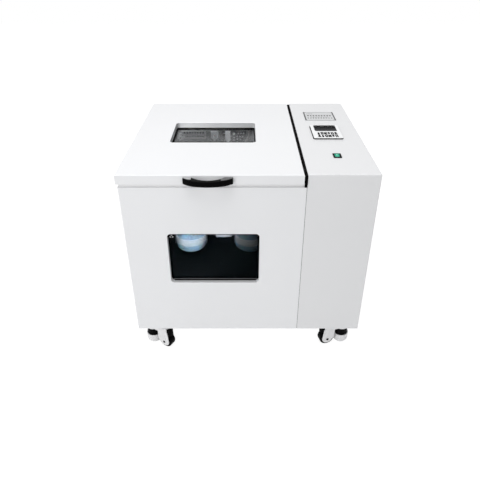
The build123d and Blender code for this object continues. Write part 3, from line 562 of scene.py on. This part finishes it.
def lid_handle():
    """Half-moon grip with square shoulders, and a cover over the screw at each end, the left one pale as a
    painted highlight and the right one dark as painted shade.
    """
    steps = 28
    outer = [bow_half * (2 * i / steps - 1) for i in range(steps + 1)]
    inner = [hand_half * (1 - 2 * i / steps) for i in range(steps + 1)]
    outline = [(-grip_half, 0.0), (-grip_half, outer_reach(grip_half))]
    outline += [(x, outer_reach(x)) for x in outer]
    outline += [(grip_half, outer_reach(grip_half)), (grip_half, 0.0)]
    outline += [(x, inner_reach(x)) for x in inner]
    points = [(grip_x + x, grip_high.y - out) for x, out in reversed(outline)]
    grip = slab("bow_grip", points, grip_low.z, grip_high.z, "black_gloss", bevel=(0.0013, 3, 0.7),
                body="lid")
    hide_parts("lid_handle")
    covers = (("left", -1, ((0.0775, 0.0012), (0.0775, 0.0070), (0.0640, 0.0150), (0.0530, 0.0172),
                            (0.0520, 0.0030), (0.0550, 0.0012))),
              ("right", 1, ((0.0780, 0.0012), (0.0780, 0.0092), (0.0625, 0.0195), (0.0545, 0.0222),
                            (0.0420, 0.0250), (0.0420, 0.0120), (0.0520, 0.0030), (0.0550, 0.0012))))
    for name, side, cover in covers:
        outline = [(grip_x + side * x, grip_high.y - out) for x, out in cover][::side]
        slab(f"grip_cover_{name}", outline, grip_high.z - 0.0004, grip_high.z + 0.0009, "black_gloss",
             cover_highlight_shade[name], (0.0005, 2), "lid")


# Painted light on the grip covers: the left cover's pale grey is a painted highlight, the right cover's dark
# grey is painted shade.
cover_highlight_shade = {"left": moulded("screw_cover_painted_highlight", (0.42, 0.42, 0.43), 0.35),
              "right": moulded("screw_cover_painted_shade", (0.10, 0.10, 0.104), 0.35)}
lid_handle()

# ---------------- control panel

controller_low, controller_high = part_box("controller_body")
lens_low, lens_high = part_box("display_lens")
keys_low, keys_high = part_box("keypad_membrane")
controller_x, controller_y = centre(controller_low, controller_high)[:2]
lens_y = centre(lens_low, lens_high)[1]
keys_y = centre(keys_low, keys_high)[1]
print_height = 0.00012
overlap_step = 0.00002

ink = moulded("printed_ink_black", (0.001, 0.001, 0.0012), 0.5, gloss=0.02)
segment_ink = moulded("unlit_segment_grey", (0.022, 0.023, 0.025), 0.35, gloss=0.02)


def display():
    """Black bezel round the lens, a gasket beside the case and two rows of unlit seven-bar digits."""
    width = lens_high.x - lens_low.x
    depth = lens_high.y - lens_low.y
    outer = rounded(width + 0.0032, depth + 0.0078, 0.0060, 6, (controller_x, lens_y + 0.0010))
    inner = rounded(width - 0.0010, depth - 0.0010, 0.0045, 6, (controller_x, lens_y))
    face = controller_high.z
    piece("display_bezel", frame_ring(bmesh.new(), outer, inner, face + 0.0001, face + 0.0006),
          "dark_lens", bevel=(0.0002, 1))
    outline = rounded(0.0018, controller_high.y - controller_low.y - 0.010, 0.0010, 2,
                      (controller_low.x - 0.0008, controller_y))
    slab("controller_gasket", outline, top + 0.0001, top + 0.0024, "black_rubber", bevel=(0.0003, 1))
    flat_bars, upright_bars = ((0, 1), (0, 0), (0, -1)), ((-1, 0.5), (1, 0.5), (-1, -0.5), (1, -0.5))
    mesh = bmesh.new()
    for row_y, tall in ((lens_y + 0.011, 0.017), (lens_y - 0.013, 0.013)):
        wide, thick = tall * 0.5, tall * 0.09
        for k in range(4):
            digit_x = controller_x + (k - 1.5) * tall * 0.95
            for bars, size in ((flat_bars, (wide * 0.8, thick)), (upright_bars, (thick, tall * 0.40))):
                for sx, sy in bars:
                    bar = rounded(*size, tall * 0.03, 2, (digit_x + sx * wide / 2, row_y + sy * tall / 2))
                    prism(mesh, bar, lens_high.z, lens_high.z + print_height)
    piece("display_segments", mesh, "dark_lens", segment_ink)


def slanted_bar(mesh, x, y, length, width, angle, low, high):
    """A printed bar turned about its middle."""
    turned = [(x + px * cos(angle) - py * sin(angle), y + px * sin(angle) + py * cos(angle))
              for px, py in rounded(length, width, width * 0.3, 2)]
    prism(mesh, turned, low, high)


def key_signs():
    """Bold signs on the twelve keys: arrows, boxes, rings, bars and crosses."""
    mesh = bmesh.new()
    key_pitch, row_pitch, tall = 0.013, 0.0275, 0.0240
    low, high = controller_high.z + 0.0006, keys_high.z + 0.00004
    under = high - overlap_step
    for row in range(2):
        for column in range(6):
            x = controller_x + (column - 2.5) * key_pitch
            y = keys_y + (0.5 - row) * row_pitch
            kind = (row * 5 + column) % 6
            if kind in (0, 3):
                point = 1 if kind == 0 else -1
                foot = y - point * 0.001
                arrow = [(x - 0.0054, foot), (x + 0.0054, foot), (x, y + point * 0.0122)]
                prism(mesh, arrow[::point], low, high)
                prism(mesh, rounded(0.0074, 0.0124, 0.0006, 2, (x, y - point * 0.0060)), low, under)
            elif kind == 1:
                hole = rounded(0.0018, 0.0100, 0.0006, 3, (x, y))
                frame_ring(mesh, rounded(0.0098, tall, 0.0020, 3, (x, y)), hole, low, high)
            elif kind == 2:
                slanted_bar(mesh, x, y, 0.0236, 0.0066, 1.12, low, under)
                slanted_bar(mesh, x, y, 0.0236, 0.0066, -1.12, low, high)
            elif kind == 4:
                for side in (-1, 1):
                    prism(mesh, rounded(0.0043, tall, 0.0006, 2, (x + side * 0.0030, y)), low, high)
            else:
                spot = (x, y - 0.0064)
                frame_ring(mesh, polygon(0.0056, 20, spot), polygon(0.0013, 20, spot), low, high)
                prism(mesh, rounded(0.0078, 0.0140, 0.0005, 2, (x, y + 0.0054)), low, under)
    piece("key_signs", mesh, "keypad_film", ink)


def rocker_marks():
    """A bar and a ring moulded into the two ends of the tilted rocker."""
    low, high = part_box("switch_rocker")
    tilt = radians(9)
    face_radius, face_height = 0.02354, 0.02904
    along = Vector((0, cos(tilt), sin(tilt)))
    up = Vector((0, -sin(tilt), cos(tilt)))
    pivot = Vector((centre(low, high)[0], front + 0.150, top - 0.005))
    mesh = bmesh.new()
    for reach in (-0.0068, 0.0068):
        rise = sqrt(face_radius ** 2 - reach * reach)
        point = pivot + along * reach + up * (face_height - rise)
        place = facing(point, up - along * (reach / rise), (1, 0, 0))
        if reach < 0:
            prism(mesh, rounded(0.0006, 0.0034, 0.0002, 2), -0.0001, print_height, place)
        else:
            frame_ring(mesh, polygon(0.0019, 20), polygon(0.0013, 20), -0.0001, print_height, place)
    piece("rocker_marks", mesh, "green_plastic", mark_white, body="rocker")


mark_white = moulded("mark_white", (0.80, 0.84, 0.82), 0.45)
display()
key_signs()
rocker_marks()

# ---------------- text plate

plate_low, plate_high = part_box("label_plate")
plate_x, plate_y = centre(plate_low, plate_high)[:2]
plate_rail = moulded("plate_rail_grey", (0.030, 0.030, 0.032), 0.45)
rule_ink = moulded("ruled_line_grey", (0.012, 0.012, 0.013), 0.5)
faint_ink = moulded("ruled_line_faint", (0.17, 0.17, 0.175), 0.5)


def dashes(mesh, count, start, pitch, y, size, corner, height):
    """A row of equal dashes on the plate. Start and y are taken from its middle."""
    for k in range(count):
        prism(mesh, rounded(*size, corner, 1, (plate_x + start + k * pitch, plate_y + y)), plate_high.z,
              plate_high.z + height)


def text_plate():
    """Dark side rails, a thin outline, rivets and ruled dashes where the words would stand."""
    half_width = (plate_high.x - plate_low.x) / 2
    depth = plate_high.y - plate_low.y
    sunk = plate_high.z - 0.0001
    mesh = bmesh.new()
    for side, width in ((-1, 0.0050), (1, 0.0040)):
        rail_x = plate_x + side * (half_width - 0.0030)
        prism(mesh, rounded(width, depth - 0.006, 0.001, 2, (rail_x, plate_y)), sunk, plate_high.z + 0.0016)
    piece("plate_rails", mesh, "plate_metal", plate_rail, (0.0005, 2))
    mesh = bmesh.new()
    for side in (-1, 1):
        prism(mesh, rounded(2 * half_width - 0.012, 0.0016, 0.0003, 1,
                            (plate_x, plate_y + side * (depth / 2 - 0.003))), sunk, plate_high.z + 0.0002)
    dashes(mesh, 9, -0.0464, 0.0116, 0.007, (0.0060, 0.0125), 0.0006, print_height)
    piece("plate_dashes", mesh, "plate_metal", rule_ink)
    mesh = bmesh.new()
    for count, start, pitch, y, size in ((10, -0.0486, 0.0108, -0.023, (0.0054, 0.0110)),
                                         (9, -0.0324, 0.0081, -0.011, (0.0058, 0.0036)),
                                         (4, -0.048, 0.0065, 0.031, (0.0050, 0.0048))):
        dashes(mesh, count, start, pitch, y, size, 0.0005, 0.00010)
    piece("plate_faint_dashes", mesh, "plate_metal", faint_ink)
    rivet = lathe(bmesh.new(), [(0, 0), (0.0024, 0), (0.0022, 0.0006), (0.0013, 0.0011), (0, 0.0013)], 16)
    corners = four(half_width - 0.0075, depth / 2 - 0.0085)
    fasteners("plate_rivets", rivet, to_roof, [(plate_x + x, plate_y + y, plate_high.z) for x, y in corners])


text_plate()

# ---------------- seams and window trims

body_low, body_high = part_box("body_shell")
pane_low, pane_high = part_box("front_window_panes")
roof_low, roof_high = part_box("lid_window_panes")
pane_cover = 0.016
window_x, window_z = centre(pane_low, pane_high)[::2]
window_width = pane_high.x - pane_low.x - pane_cover
window_height = pane_high.z - pane_low.z - pane_cover
roof_x, roof_y = centre(roof_low, roof_high)[:2]
roof_width = roof_high.x - roof_low.x - pane_cover
roof_depth = roof_high.y - roof_low.y - pane_cover
seam_grey = rubber("seam_filler_grey", (0.20, 0.20, 0.205))
bead_grey = brushed("glazing_bead_pale", (0.17, 0.172, 0.178), 0.4, (0.05, 1.0, 1.0), metal=0.4)
lining_grey = powder_coat("reveal_lining_grey", (0.42, 0.423, 0.43))
sill_shade_grey = powder_coat("sill_painted_shade", (0.66, 0.665, 0.68))
strip_painted_light = powder_coat("mouth_strip_painted_light", (0.88, 0.882, 0.89))
upright = facing((0, 0, 0), (0, -1, 0), (1, 0, 0))


def upper_part(outline, level):
    """The points of a closed outline above a level, from one side over the top to the other."""
    above = [point for point in outline if point[1] > level]
    return sorted(above, key=lambda point: -atan2(point[1] - level, point[0] - window_x))


def seam_strip():
    """Filler in the upright seam of the front, and a pale strip in the recess under the lid, lighter than the
    white paint and set forward to take out the recess's shade: painted light.
    """
    outline = rounded(control_low.x - body_high.x - 0.0001, 0.0014, 0.0003, 2,
                      ((control_low.x + body_high.x) / 2, front + 0.0012))
    slab("front_seam_filler", outline, bottom + 0.001, body_high.z - 0.001, "black_rubber", seam_grey)
    # Painted light: the mouth strip is a lighter copy of the white paint, brought forward to hide the shade
    # under the lid.
    outside, inside = 0.003, 0.0079
    (x0, y0), (x1, y1) = ((body_low.x + inset, front + inset) for inset in (outside, inside))
    right_end, rear_end = control_low.x - 0.0012, rear - 0.070
    outline = [(x0, y0), (right_end, y0), (right_end, y1), (x1, y1), (x1, rear_end), (x0, rear_end)]
    slab("mouth_strip", outline, body_high.z + 0.0004, lid_low.z - 0.0012, "white_paint", strip_painted_light,
         (0.0008, 2))


def front_window_trim():
    """Black edging over the top and sides, a lip, a bead and a sill at the foot, the sill's grey being
    painted shade on the floor of the recess, and three dome nuts.
    """
    foot = window_z - window_height / 2
    level = foot + 0.0133
    outer = rounded(window_width - 0.0002, window_height - 0.0002, 0.0129, 6, (window_x, window_z))
    inner = rounded(window_width - 0.0056, window_height - 0.0056, 0.0102, 6, (window_x, window_z))
    edging = frame_ring(bmesh.new(), upper_part(outer, level), upper_part(inner, level), -front - 0.0162,
                        -front - 0.0008, upright, False)
    piece("front_window_edging", edging, "black_rubber", bevel=(0.0006, 2))
    # The sill's grey is painted shade lying on the floor of the window recess.
    for name, slot, finish, shorter, tall, corner, steps, rise, near, far, bevel in (
            ("lip", "black_rubber", None, 0.020, 0.0050, 0.0015, 3, 0.0026, 0.0168, 0.0130, (0.0004, 1)),
            ("bead", "plate_metal", bead_grey, 0.012, 0.0022, 0.0008, 2, 0.0060, 0.0168, 0.0148, (0.0003, 1)),
            ("sill", "white_paint", sill_shade_grey, 0.016, 0.0004, 0.0001, 1, 0.0003, 0.0128, 0.0003, ())):
        outline = rounded(window_width - shorter, tall, corner, steps, (window_x, foot + rise))
        slab(f"front_window_{name}", outline, -front - near, -front - far, slot, finish, bevel, place=upright)
    nut = lathe(bmesh.new(), [(0, 0), (0.0026, 0), (0.0026, 0.0008), (0.0019, 0.0020), (0, 0.0024)], 16)
    fasteners("front_window_dome_nuts", nut, to_front,
              [(window_x - window_width / 2 + across, front + 0.0158, window_z + window_height / 2 - down)
               for across, down in ((0.0125, 0.0125), (0.0085, 0.0205), (0.0165, 0.0205))])


def roof_outline(inset, corner):
    return rounded(roof_width - inset, roof_depth - inset, corner, 6, (roof_x, roof_y))


def lid_window_trim():
    """Lip round the pane, a dark line and a lining on the reveal, and a black strip along the front edge that
    is painted shade for the front wall's shadow.
    """
    glass = roof_high.z
    for name, slot, finish, outer, inner, low, high, bevel in (
            ("lip", "black_rubber", None, (0.0002, 0.0109), (0.0060, 0.0082), glass + 0.0001, glass + 0.0022,
             (0.0005, 2)),
            ("upper_line", "black_rubber", seam_grey, (0.0001, 0.01095), (0.0011, 0.01045), top - 0.0038,
             top - 0.0022, ()),
            ("lining", "white_paint", lining_grey, (0.0001, 0.01095), (0.0009, 0.01055), glass + 0.0023,
             top - 0.0042, ())):
        mesh = frame_ring(bmesh.new(), roof_outline(*outer), roof_outline(*inner), low, high)
        piece(f"lid_window_{name}", mesh, slot, finish, bevel, "lid")
    # Painted shade: the black strip along the front edge of the opening stands for the shadow of the front
    # wall.
    outline = rounded(roof_width - 0.018, 0.0062, 0.0012, 3, (roof_x, roof_y - roof_depth / 2 + 0.0003))
    slab("lid_window_front_bead", outline, top - 0.0022, top + 0.0002, "black_rubber", bevel=(0.0003, 1),
         body="lid")


seam_strip()
front_window_trim()
lid_window_trim()

# ---------------- casters

caster_trail = 0.064
wheel_radius = 0.029
fork_face = 0.0205
cheek_radius, cheek_top, cheek_start, cheek_thickness = 0.0208, 0.0485, 0.0152, 0.0036
hood_inner, hood_bottom, hood_top = 0.0207, 0.0590, 0.0965
caster_inset_x, caster_inset_y = 0.050, 0.058
caster_places = {
    "front_left": (left + caster_inset_x, front + caster_inset_y, -30),
    "front_right": (right - caster_inset_x, front + caster_inset_y, 195),
    "rear_left": (left + caster_inset_x, rear - caster_inset_y, -70),
    "rear_right": (right - caster_inset_x, rear - caster_inset_y, 215)}
race_steel = brushed("bearing_race_dark", (0.20, 0.20, 0.21), 0.35, even)


def caster(corner, x, y, angle):
    """Trim of one caster: axle caps, spokes, tread lines, a black hood, pale cheeks and the ball race."""
    turn = radians(angle)
    along = Vector((cos(turn), sin(turn), 0))
    across = Vector((-sin(turn), cos(turn), 0))
    axle = Vector((x, y, wheel_radius)) + along * caster_trail
    swivel, wheel = f"caster_swivel_{corner}", f"wheel_{corner}"
    caps, spokes, lines, cheeks = (bmesh.new() for _ in range(4))
    # The cheeks are wide round the axle and narrow toward the fork.
    rim = [radians(160 + 10 * k) for k in range(23)]
    cheek = [(cheek_radius * cos(a), 0.0015 + cheek_radius * sin(a)) for a in rim]
    cheek += [(0.0150, cheek_top), (-0.0190, cheek_top)]
    for side in (-1, 1):
        lathe(caps, [(0, 0), (0.0048, 0), (0.0048, 0.0012), (0.0040, 0.0024), (0.0022, 0.0032), (0, 0.0034)],
              24, facing(axle + across * side * fork_face, across * side, along))
        hub = facing(axle, across * side, along)
        ring(spokes, [(0.0050, 0.0115), (0.0080, 0.0115), (0.0080, 0.0144), (0.0050, 0.0144)], 32, hub)
        for k in range(6):
            prism(spokes, [(0.0078, -0.0012), (0.0205, -0.0009), (0.0205, 0.0009), (0.0078, 0.0012)], 0.0118,
                  0.0140, hub @ Matrix.Rotation(pi * k / 3, 4, "Z"))
        prism(cheeks, [(px, -side * pz) for px, pz in cheek[::-side]], 0, cheek_thickness,
              facing(axle + across * side * cheek_start, across * side, along))
    for shift in (-0.0075, 0.0, 0.0075):
        ring(lines, [(wheel_radius - 0.0003, shift - 0.0006), (wheel_radius + 0.00002, shift),
                     (wheel_radius - 0.0003, shift + 0.0006)], 64, facing(axle, across, along))
    # The hood is a crescent round the end of the fork, with its top cut away toward both ends.
    hood_foot = Vector((x, y, 0)) + along * (caster_trail - 0.002)
    arc = [radians(-46 + 4.6 * k) for k in range(21)]
    shell = [(reach * cos(a), reach * sin(a)) for reach, a in
             ((0.0220 + 0.0085 * cos(1.9 * a), a) for a in arc)]
    shell += [(hood_inner * cos(a), hood_inner * sin(a)) for a in reversed(arc)]
    hood = prism(bmesh.new(), shell, hood_bottom, hood_top, facing(hood_foot, (0, 0, 1), along))
    for vertex in hood.verts:
        if vertex.co.z > 0.09:
            offset = vertex.co - hood_foot
            vertex.co.z -= (0.6 * max(offset.dot(along) - 0.0200, 0.0)
                            + 0.25 * max(abs(offset.dot(across)) - 0.004, 0.0))
    race = ring(bmesh.new(), [(0.0245, 0.0972), (0.0262, 0.0972), (0.0268, 0.0985), (0.0268, 0.1004),
                              (0.0258, 0.1016), (0.0245, 0.1016)], 40, Matrix.Translation((x, y, 0)))
    piece(f"axle_caps_{corner}", caps, "black_plastic", body=swivel)
    piece(f"wheel_spokes_{corner}", spokes, "wheel_nylon", bevel=(0.0003, 1), body=wheel)
    piece(f"tread_lines_{corner}", lines, "wheel_nylon", body=wheel)
    piece(f"wheel_hood_{corner}", hood, "black_plastic", bevel=(0.0005, 1), body=swivel)
    piece(f"wheel_cheeks_{corner}", cheeks, "caster_cast", bevel=(0.0008, 2), body=swivel)
    piece(f"ball_race_{corner}", race, "steel", race_steel)


for corner_name, place in caster_places.items():
    caster(corner_name, *place)
fasteners("caster_plate_bolts", hex_bolt(0.0050, 0.0032), to_floor,
          [(x + dx, y + dy, bottom - 0.009) for x, y, _ in caster_places.values()
           for dx, dy in four(0.029, 0.029)])

# ---------------- chamber

chamber_low, chamber_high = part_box("chamber_liner")
guard_low, guard_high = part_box("fan_guard")
guard_x, guard_z = centre(guard_low, guard_high)[::2]
liner_sheet = 0.0015
wall_left = chamber_low.x + liner_sheet
wall_right = chamber_high.x - liner_sheet
wall_rear = chamber_high.y - liner_sheet
shaft_z = top - 0.298
inlet_steel = brushed("inlet_plate_steel", (0.24, 0.245, 0.25), 0.42, along_x, metal=0.6)


def chamber_trim():
    """Straps, an air inlet and a probe gland on the rear wall, and the screws of liner, guard and rim."""
    rear_wall = facing((0, wall_rear, 0), (0, -1, 0), (1, 0, 0))
    mesh = bmesh.new()
    for x0, x1, stand in ((left + 0.259, left + 0.2905, 0.0003), (left + 0.326, left + 0.349, 0.0298)):
        prism(mesh, [(x0, top - 0.146), ((x0 + x1) / 2, top - 0.159), (x1, top - 0.146), (x1, top - 0.052),
                     (x0, top - 0.052)], stand, stand + 0.0027, rear_wall)
    prism(mesh, rounded(0.023, 0.010, 0.001, 2, (left + 0.3375, top - 0.057)), 0.0003, 0.0299, rear_wall)
    piece("rear_wall_straps", mesh, "clamp_white", bevel=(0.0006, 2))
    plate = rounded(0.112, 0.040, 0.004, 3, (left + 0.181, top - 0.130))
    slab("rear_wall_inlet", plate, 0.0002, 0.0014, "stainless", inlet_steel, (0.0004, 1), place=rear_wall)
    mesh = bmesh.new()
    for k in range(8):
        for tall, corner, down in ((0.0090, 0.0020, 0.121), (0.0045, 0.0015, 0.139)):
            slot = rounded(0.0078, tall, corner, 2, (left + 0.139 + 0.012 * k, top - down))
            prism(mesh, slot, 0.0012, 0.0017, rear_wall)
    piece("rear_wall_inlet_slots", mesh, "black_metal")
    profile = [(0, 0), (0.0190, 0), (0.0190, 0.0030), (0.0150, 0.0060), (0.0110, 0.0070), (0.0110, 0.0150),
               (0.0085, 0.0165), (0.0030, 0.0165), (0.0030, 0.0480), (0, 0.0490)]
    place = facing((-0.303, wall_rear, top - 0.137), (0, -1, 0), (1, 0, 0))
    piece("probe_gland", lathe(bmesh.new(), profile, 32, place), "cast_housing")
    fasteners("strap_screws", pan_screw(0.0040, 0.0022), to_front,
              [(left + 0.2747, wall_rear - 0.0030, top - down) for down in (0.074, 0.134)])
    fasteners("guard_centre_screw", pan_screw(0.0056, 0.0030), to_front,
              [(guard_x, guard_low.y - 0.0002, guard_z)], mark_white)
    fasteners("guard_screws", pan_screw(0.0042, 0.0024), to_front,
              [(guard_x + 0.060 * cos(a), guard_high.y - 0.0025, guard_z + 0.060 * sin(a))
               for a in (radians(d) for d in (45, 135, 225, 315))])
    screw_rows, rim_row = (top - 0.052, top - 0.585), top - 0.036
    for name, turn, wall in (("left", to_right, wall_left), ("right", to_left, wall_right)):
        fasteners(f"liner_screws_{name}", pan_screw(0.0038, 0.0018), turn,
                  [(wall, -0.30 + 0.12 * k, z) for k in range(6) for z in screw_rows])
    fasteners("liner_screws_rear", pan_screw(0.0038, 0.0018), to_front,
              [(-0.36 + 0.125 * k, wall_rear, z) for k in range(5) for z in screw_rows])
    fasteners("rim_screws", pan_screw(0.0026, 0.0011), to_roof,
              [(-0.4078, -0.30 + 0.12 * k, rim_row) for k in range(6)]
              + [(-0.36 + 0.13 * k, front + 0.0122, rim_row) for k in range(5)])


buffer_white = powder_coat("tie_buffer_white", (0.86, 0.865, 0.87))


def rotor_trim():
    """Bolts of the bearings, straps and tie plates, pale buffers on the ties and rings on the bottles."""
    bearing_face, strap_face, tie_face = 0.0102, 0.0691, 0.1561
    for name, turn, x in (("left", to_right, wall_left + bearing_face),
                          ("right", to_left, wall_right - bearing_face)):
        fasteners(f"bearing_bolts_{name}", hex_bolt(0.0052, 0.0045), turn,
                  [(x, y, shaft_z + z) for y, z in four(0.030, 0.030)])
    middle = (wall_left + wall_right) / 2
    columns = (middle - 0.127, middle + 0.127)
    heights = [shaft_z + side * reach for side in (-1, 1) for reach in (0.060, 0.120)]
    for name, turn, side in (("left", to_left, -1), ("right", to_right, 1)):
        fasteners(f"strap_bolts_{name}", hex_bolt(0.0045, 0.0030), turn,
                  [(column + side * strap_face, 0.0, z) for column in columns for z in heights], body="rotor")
    tie_x, tie_reach, buffer_half = middle + 0.016, 0.151, 0.0053
    for name, turn, side in (("upper", to_roof, 1), ("lower", to_floor, -1)):
        fasteners(f"tie_bolts_{name}", hex_bolt(0.0045, 0.0035), turn,
                  [(tie_x + x, y, shaft_z + side * tie_face) for x, y in four(0.024, 0.016)], body="rotor")
    mesh = bmesh.new()
    for level in (shaft_z - tie_reach, shaft_z + tie_reach):
        for side in (-1, 1):
            outline = rounded(0.064, 0.0024, 0.0008, 2, (tie_x, side * 0.0252))
            prism(mesh, outline, level - buffer_half, level + buffer_half)
    piece("tie_plate_buffers", mesh, "bottle_plastic", buffer_white, (0.0005, 1), "rotor")
    mesh = bmesh.new()
    for column in columns:
        for upside_down in (pi, 0.0):
            place = Matrix.Translation((column, 0, shaft_z)) @ Matrix.Rotation(upside_down, 4, "X")
            for reach, crest in ((0.096, 0.0628), (0.104, 0.0628), (0.1935, 0.0636)):
                ring(mesh, [(0.0617, reach - 0.0016), (crest, reach - 0.0006), (crest, reach + 0.0006),
                            (0.0617, reach + 0.0016)], 72, place)
    piece("bottle_rings", mesh, "bottle_plastic", body="rotor")


chamber_trim()
rotor_trim()

# ---------------- rear and underside


def louvre(width, height, stand):
    """A pressed louvre hood, open below."""
    mesh = bmesh.new()
    stations = 25
    sheet = 0.0012
    profile = [(height, 0.0), (height * 0.85, stand * 0.55), (height * 0.45, stand * 0.90),
               (-height * 0.1, stand), (-height * 0.75, stand)]
    outer, inner = [], []
    for i in range(stations):
        t = -1 + 2 * i / (stations - 1)
        swell = max(1 - abs(t) ** 5, 0.0) ** 0.5 * 0.97 + 0.03
        outer.append([mesh.verts.new((t * width / 2, y, z * swell)) for y, z in profile])
        inner.append([mesh.verts.new((t * (width / 2 - sheet), y - 0.0008, max(z * swell - 0.0009, 0.0)))
                      for y, z in profile])
    edges = []
    for rows in (outer, inner):
        quads(mesh, rows, False)
        edges.append([row[-1] for row in rows] + list(reversed(rows[-1][:-1]))
                     + [row[0] for row in reversed(rows[:-1])] + rows[0][1:-1])
    quads(mesh, edges)
    mesh.transform(Matrix(((1, 0, 0, 0), (0, 0, 1, 0), (0, 1, 0, 0), (0, 0, 0, 1))))
    return mesh


def rear_trim():
    """Louvres, the fan motor's ribs, and the screws of motor, power inlet and hinges."""
    vent_x, vent_z = right - 0.118, top - 0.190
    repeated("rear_louvres", louvre(0.078, 0.0055, 0.0060), "points", "cabinet", "galvanised",
             points=[(vent_x + sx * 0.045, rear, vent_z + (k - 4) * 0.016 + 0.0010) for sx in (-1, 1)
                     for k in range(9)], finish=finishes["white_paint"])
    outline = [(0.0372, -0.0008), (0.0395, -0.0005), (0.0395, 0.0005), (0.0372, 0.0008)]
    rib = prism(bmesh.new(), outline, 0.0045, 0.0180)
    repeated("fan_motor_ribs", soften(rib, 0.0002, 1), "ring", "cabinet", "motor_paint", Count=28, Radius=0.0,
             place=facing((guard_x, rear, guard_z), (0, 1, 0), (1, 0, 0)))
    fasteners("fan_motor_screws", pan_screw(0.0042, 0.0026), to_rear,
              [(guard_x + x, rear + 0.0030, guard_z + z) for x, z in four(0.038, 0.038)])
    inlet_low, inlet_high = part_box("power_inlet")
    inlet_x, inlet_z = centre(inlet_low, inlet_high)[::2]
    fasteners("inlet_screws", pan_screw(0.0030, 0.0018), to_rear,
              [(inlet_x, rear + 0.0030, inlet_z + side * 0.0285) for side in (-1, 1)])
    hinge_places = (left + 0.095, left + 0.509)
    for part, body, holes in (
            ("body", "cabinet", (*((side * 0.020, down) for down in (0.060, 0.078) for side in (-1, 1)),
                                 (0.0, 0.069))),
            ("lid", "lid", ((-0.022, 0.0165), (0.022, 0.0165)))):
        fasteners(f"hinge_{part}_screws", pan_screw(0.0040, 0.0022), to_rear,
                  [(x + shift, rear + 0.0025, top - down) for x in hinge_places for shift, down in holes],
                  body=body)


def underside_trim():
    """An intake grille, the bolts through the base and the screws on the lid's underside."""
    slat_pitch = 0.0082
    slat = prism(bmesh.new(), rounded(0.1496, 0.0022, 0.0008, 2), -0.0008, 0.0008)
    repeated("intake_grille", soften(slat, 0.0003, 1), "row", "cabinet", "galvanised", Count=15,
             Pitch=(0.0, slat_pitch, 0.0),
             place=Matrix.Translation((right - 0.107, front + 0.197 - 7 * slat_pitch, bottom + 0.0022)))
    fasteners("base_bolts", hex_bolt(0.0050, 0.0032), to_floor,
              [(x, y, bottom) for x in (right - 0.173, right - 0.125) for y in (-0.055, 0.055)])
    places = [(-0.38 + 0.105 * k, y, top - 0.033) for k in range(6) for y in (front + 0.0030, rear - 0.0050)]
    fasteners("lid_underside_screws", pan_screw(0.0026, 0.0011), to_floor, places, body="lid")


rear_trim()
underside_trim()

# ---------------- camera, floor and lamps

camera = linked("camera", bpy.data.cameras.new("camera"))
for key, value in {"lens": 35.23, "sensor_width": 36.0, "shift_x": -0.0094, "shift_y": -0.0521,
                   "clip_start": 0.05, "clip_end": 60.0}.items():
    setattr(camera.data, key, value)
camera.location = (-0.012, front - 1.346, top + 0.639)
camera.rotation_euler = (radians(90 - 30.29), 0.0, 0.0)
scene.camera = camera
scene.view_settings.view_transform = "Standard"


def lamp(name, kind, place, target, power, **settings):
    """A lamp of a kind that points from its place at a target."""
    data = bpy.data.lights.new(name, kind)
    data.energy = power
    for key, value in settings.items():
        setattr(data, key, value)
    made = linked(name, data)
    made.location = place
    made.rotation_euler = (Vector(target) - Vector(place)).to_track_quat("-Z", "Y").to_euler()
    made.visible_camera = False


lamp("soft_above", "AREA", (-0.5, -0.6, 3.6), (0, 0, 0.5), 57.0, shape="DISK", size=3.0)
lamp("soft_front", "AREA", (-1.8, -3.0, 1.6), (-0.2, 0, 0.45), 29.5, shape="DISK", size=2.4)
lamp("inside_upper", "AREA", (-0.30, front + 0.10, top - 0.06), (-0.34, rear - 0.02, top - 0.14), 3.4,
     shape="DISK", size=0.10)
lamp("inside_front", "SPOT", (-0.195, front + 0.055, top - 0.29), (-0.232, -0.05, top - 0.465), 13.5,
     color=(0.78, 0.89, 1.0), spot_size=radians(66), spot_blend=0.6, shadow_soft_size=0.015)


def shown_white(tree):
    """1 for camera, mirror and glass rays, otherwise 0."""
    rays = tree.nodes.new("ShaderNodeLightPath").outputs
    seen = arithmetic(tree, "MAXIMUM", rays["Is Camera Ray"], rays["Is Glossy Ray"])
    return arithmetic(tree, "MAXIMUM", seen, rays["Is Transmission Ray"])


world = bpy.data.worlds.new("studio")
world.use_nodes = True
scene.world = world
sky = world.node_tree
background = sky.nodes["Background"]
background.inputs["Color"].default_value = grey(1.0)
sky_strength = add(sky, "ShaderNodeMix", {0: shown_white(sky), 2: 0.5, 3: 1.0}, data_type="FLOAT")
sky.links.new(sky_strength, background.inputs["Strength"])


def floor():
    """A plain floor that is lit as grey and shown as white."""
    mesh = prism(bmesh.new(), rounded(16.0, 16.0, 1.0, 4), -0.02, 0.0)
    data = bpy.data.meshes.new("floor")
    mesh.to_mesh(data)
    mesh.free()
    made = linked("floor", data)
    material = bpy.data.materials.new("floor_white")
    material.use_nodes = True
    tree = material.node_tree
    tree.nodes.clear()
    spots = noise(tree, add(tree, "ShaderNodeTexCoord", output="Object"), 30.0)
    plain = add(tree, "ShaderNodeBsdfDiffuse", {"Color": mixed(tree, spots, grey(0.80), grey(0.83))})
    faint = add(tree, "ShaderNodeBsdfDiffuse", {"Color": grey(0.30)})
    white = add(tree, "ShaderNodeEmission", {"Color": grey(1.0), "Strength": 0.88})
    shown = add(tree, "ShaderNodeAddShader", {0: faint, 1: white})
    both = add(tree, "ShaderNodeMixShader", {0: shown_white(tree), 1: plain, 2: shown})
    tree.links.new(both, tree.nodes.new("ShaderNodeOutputMaterial").inputs["Surface"])
    data.materials.append(material)


floor()
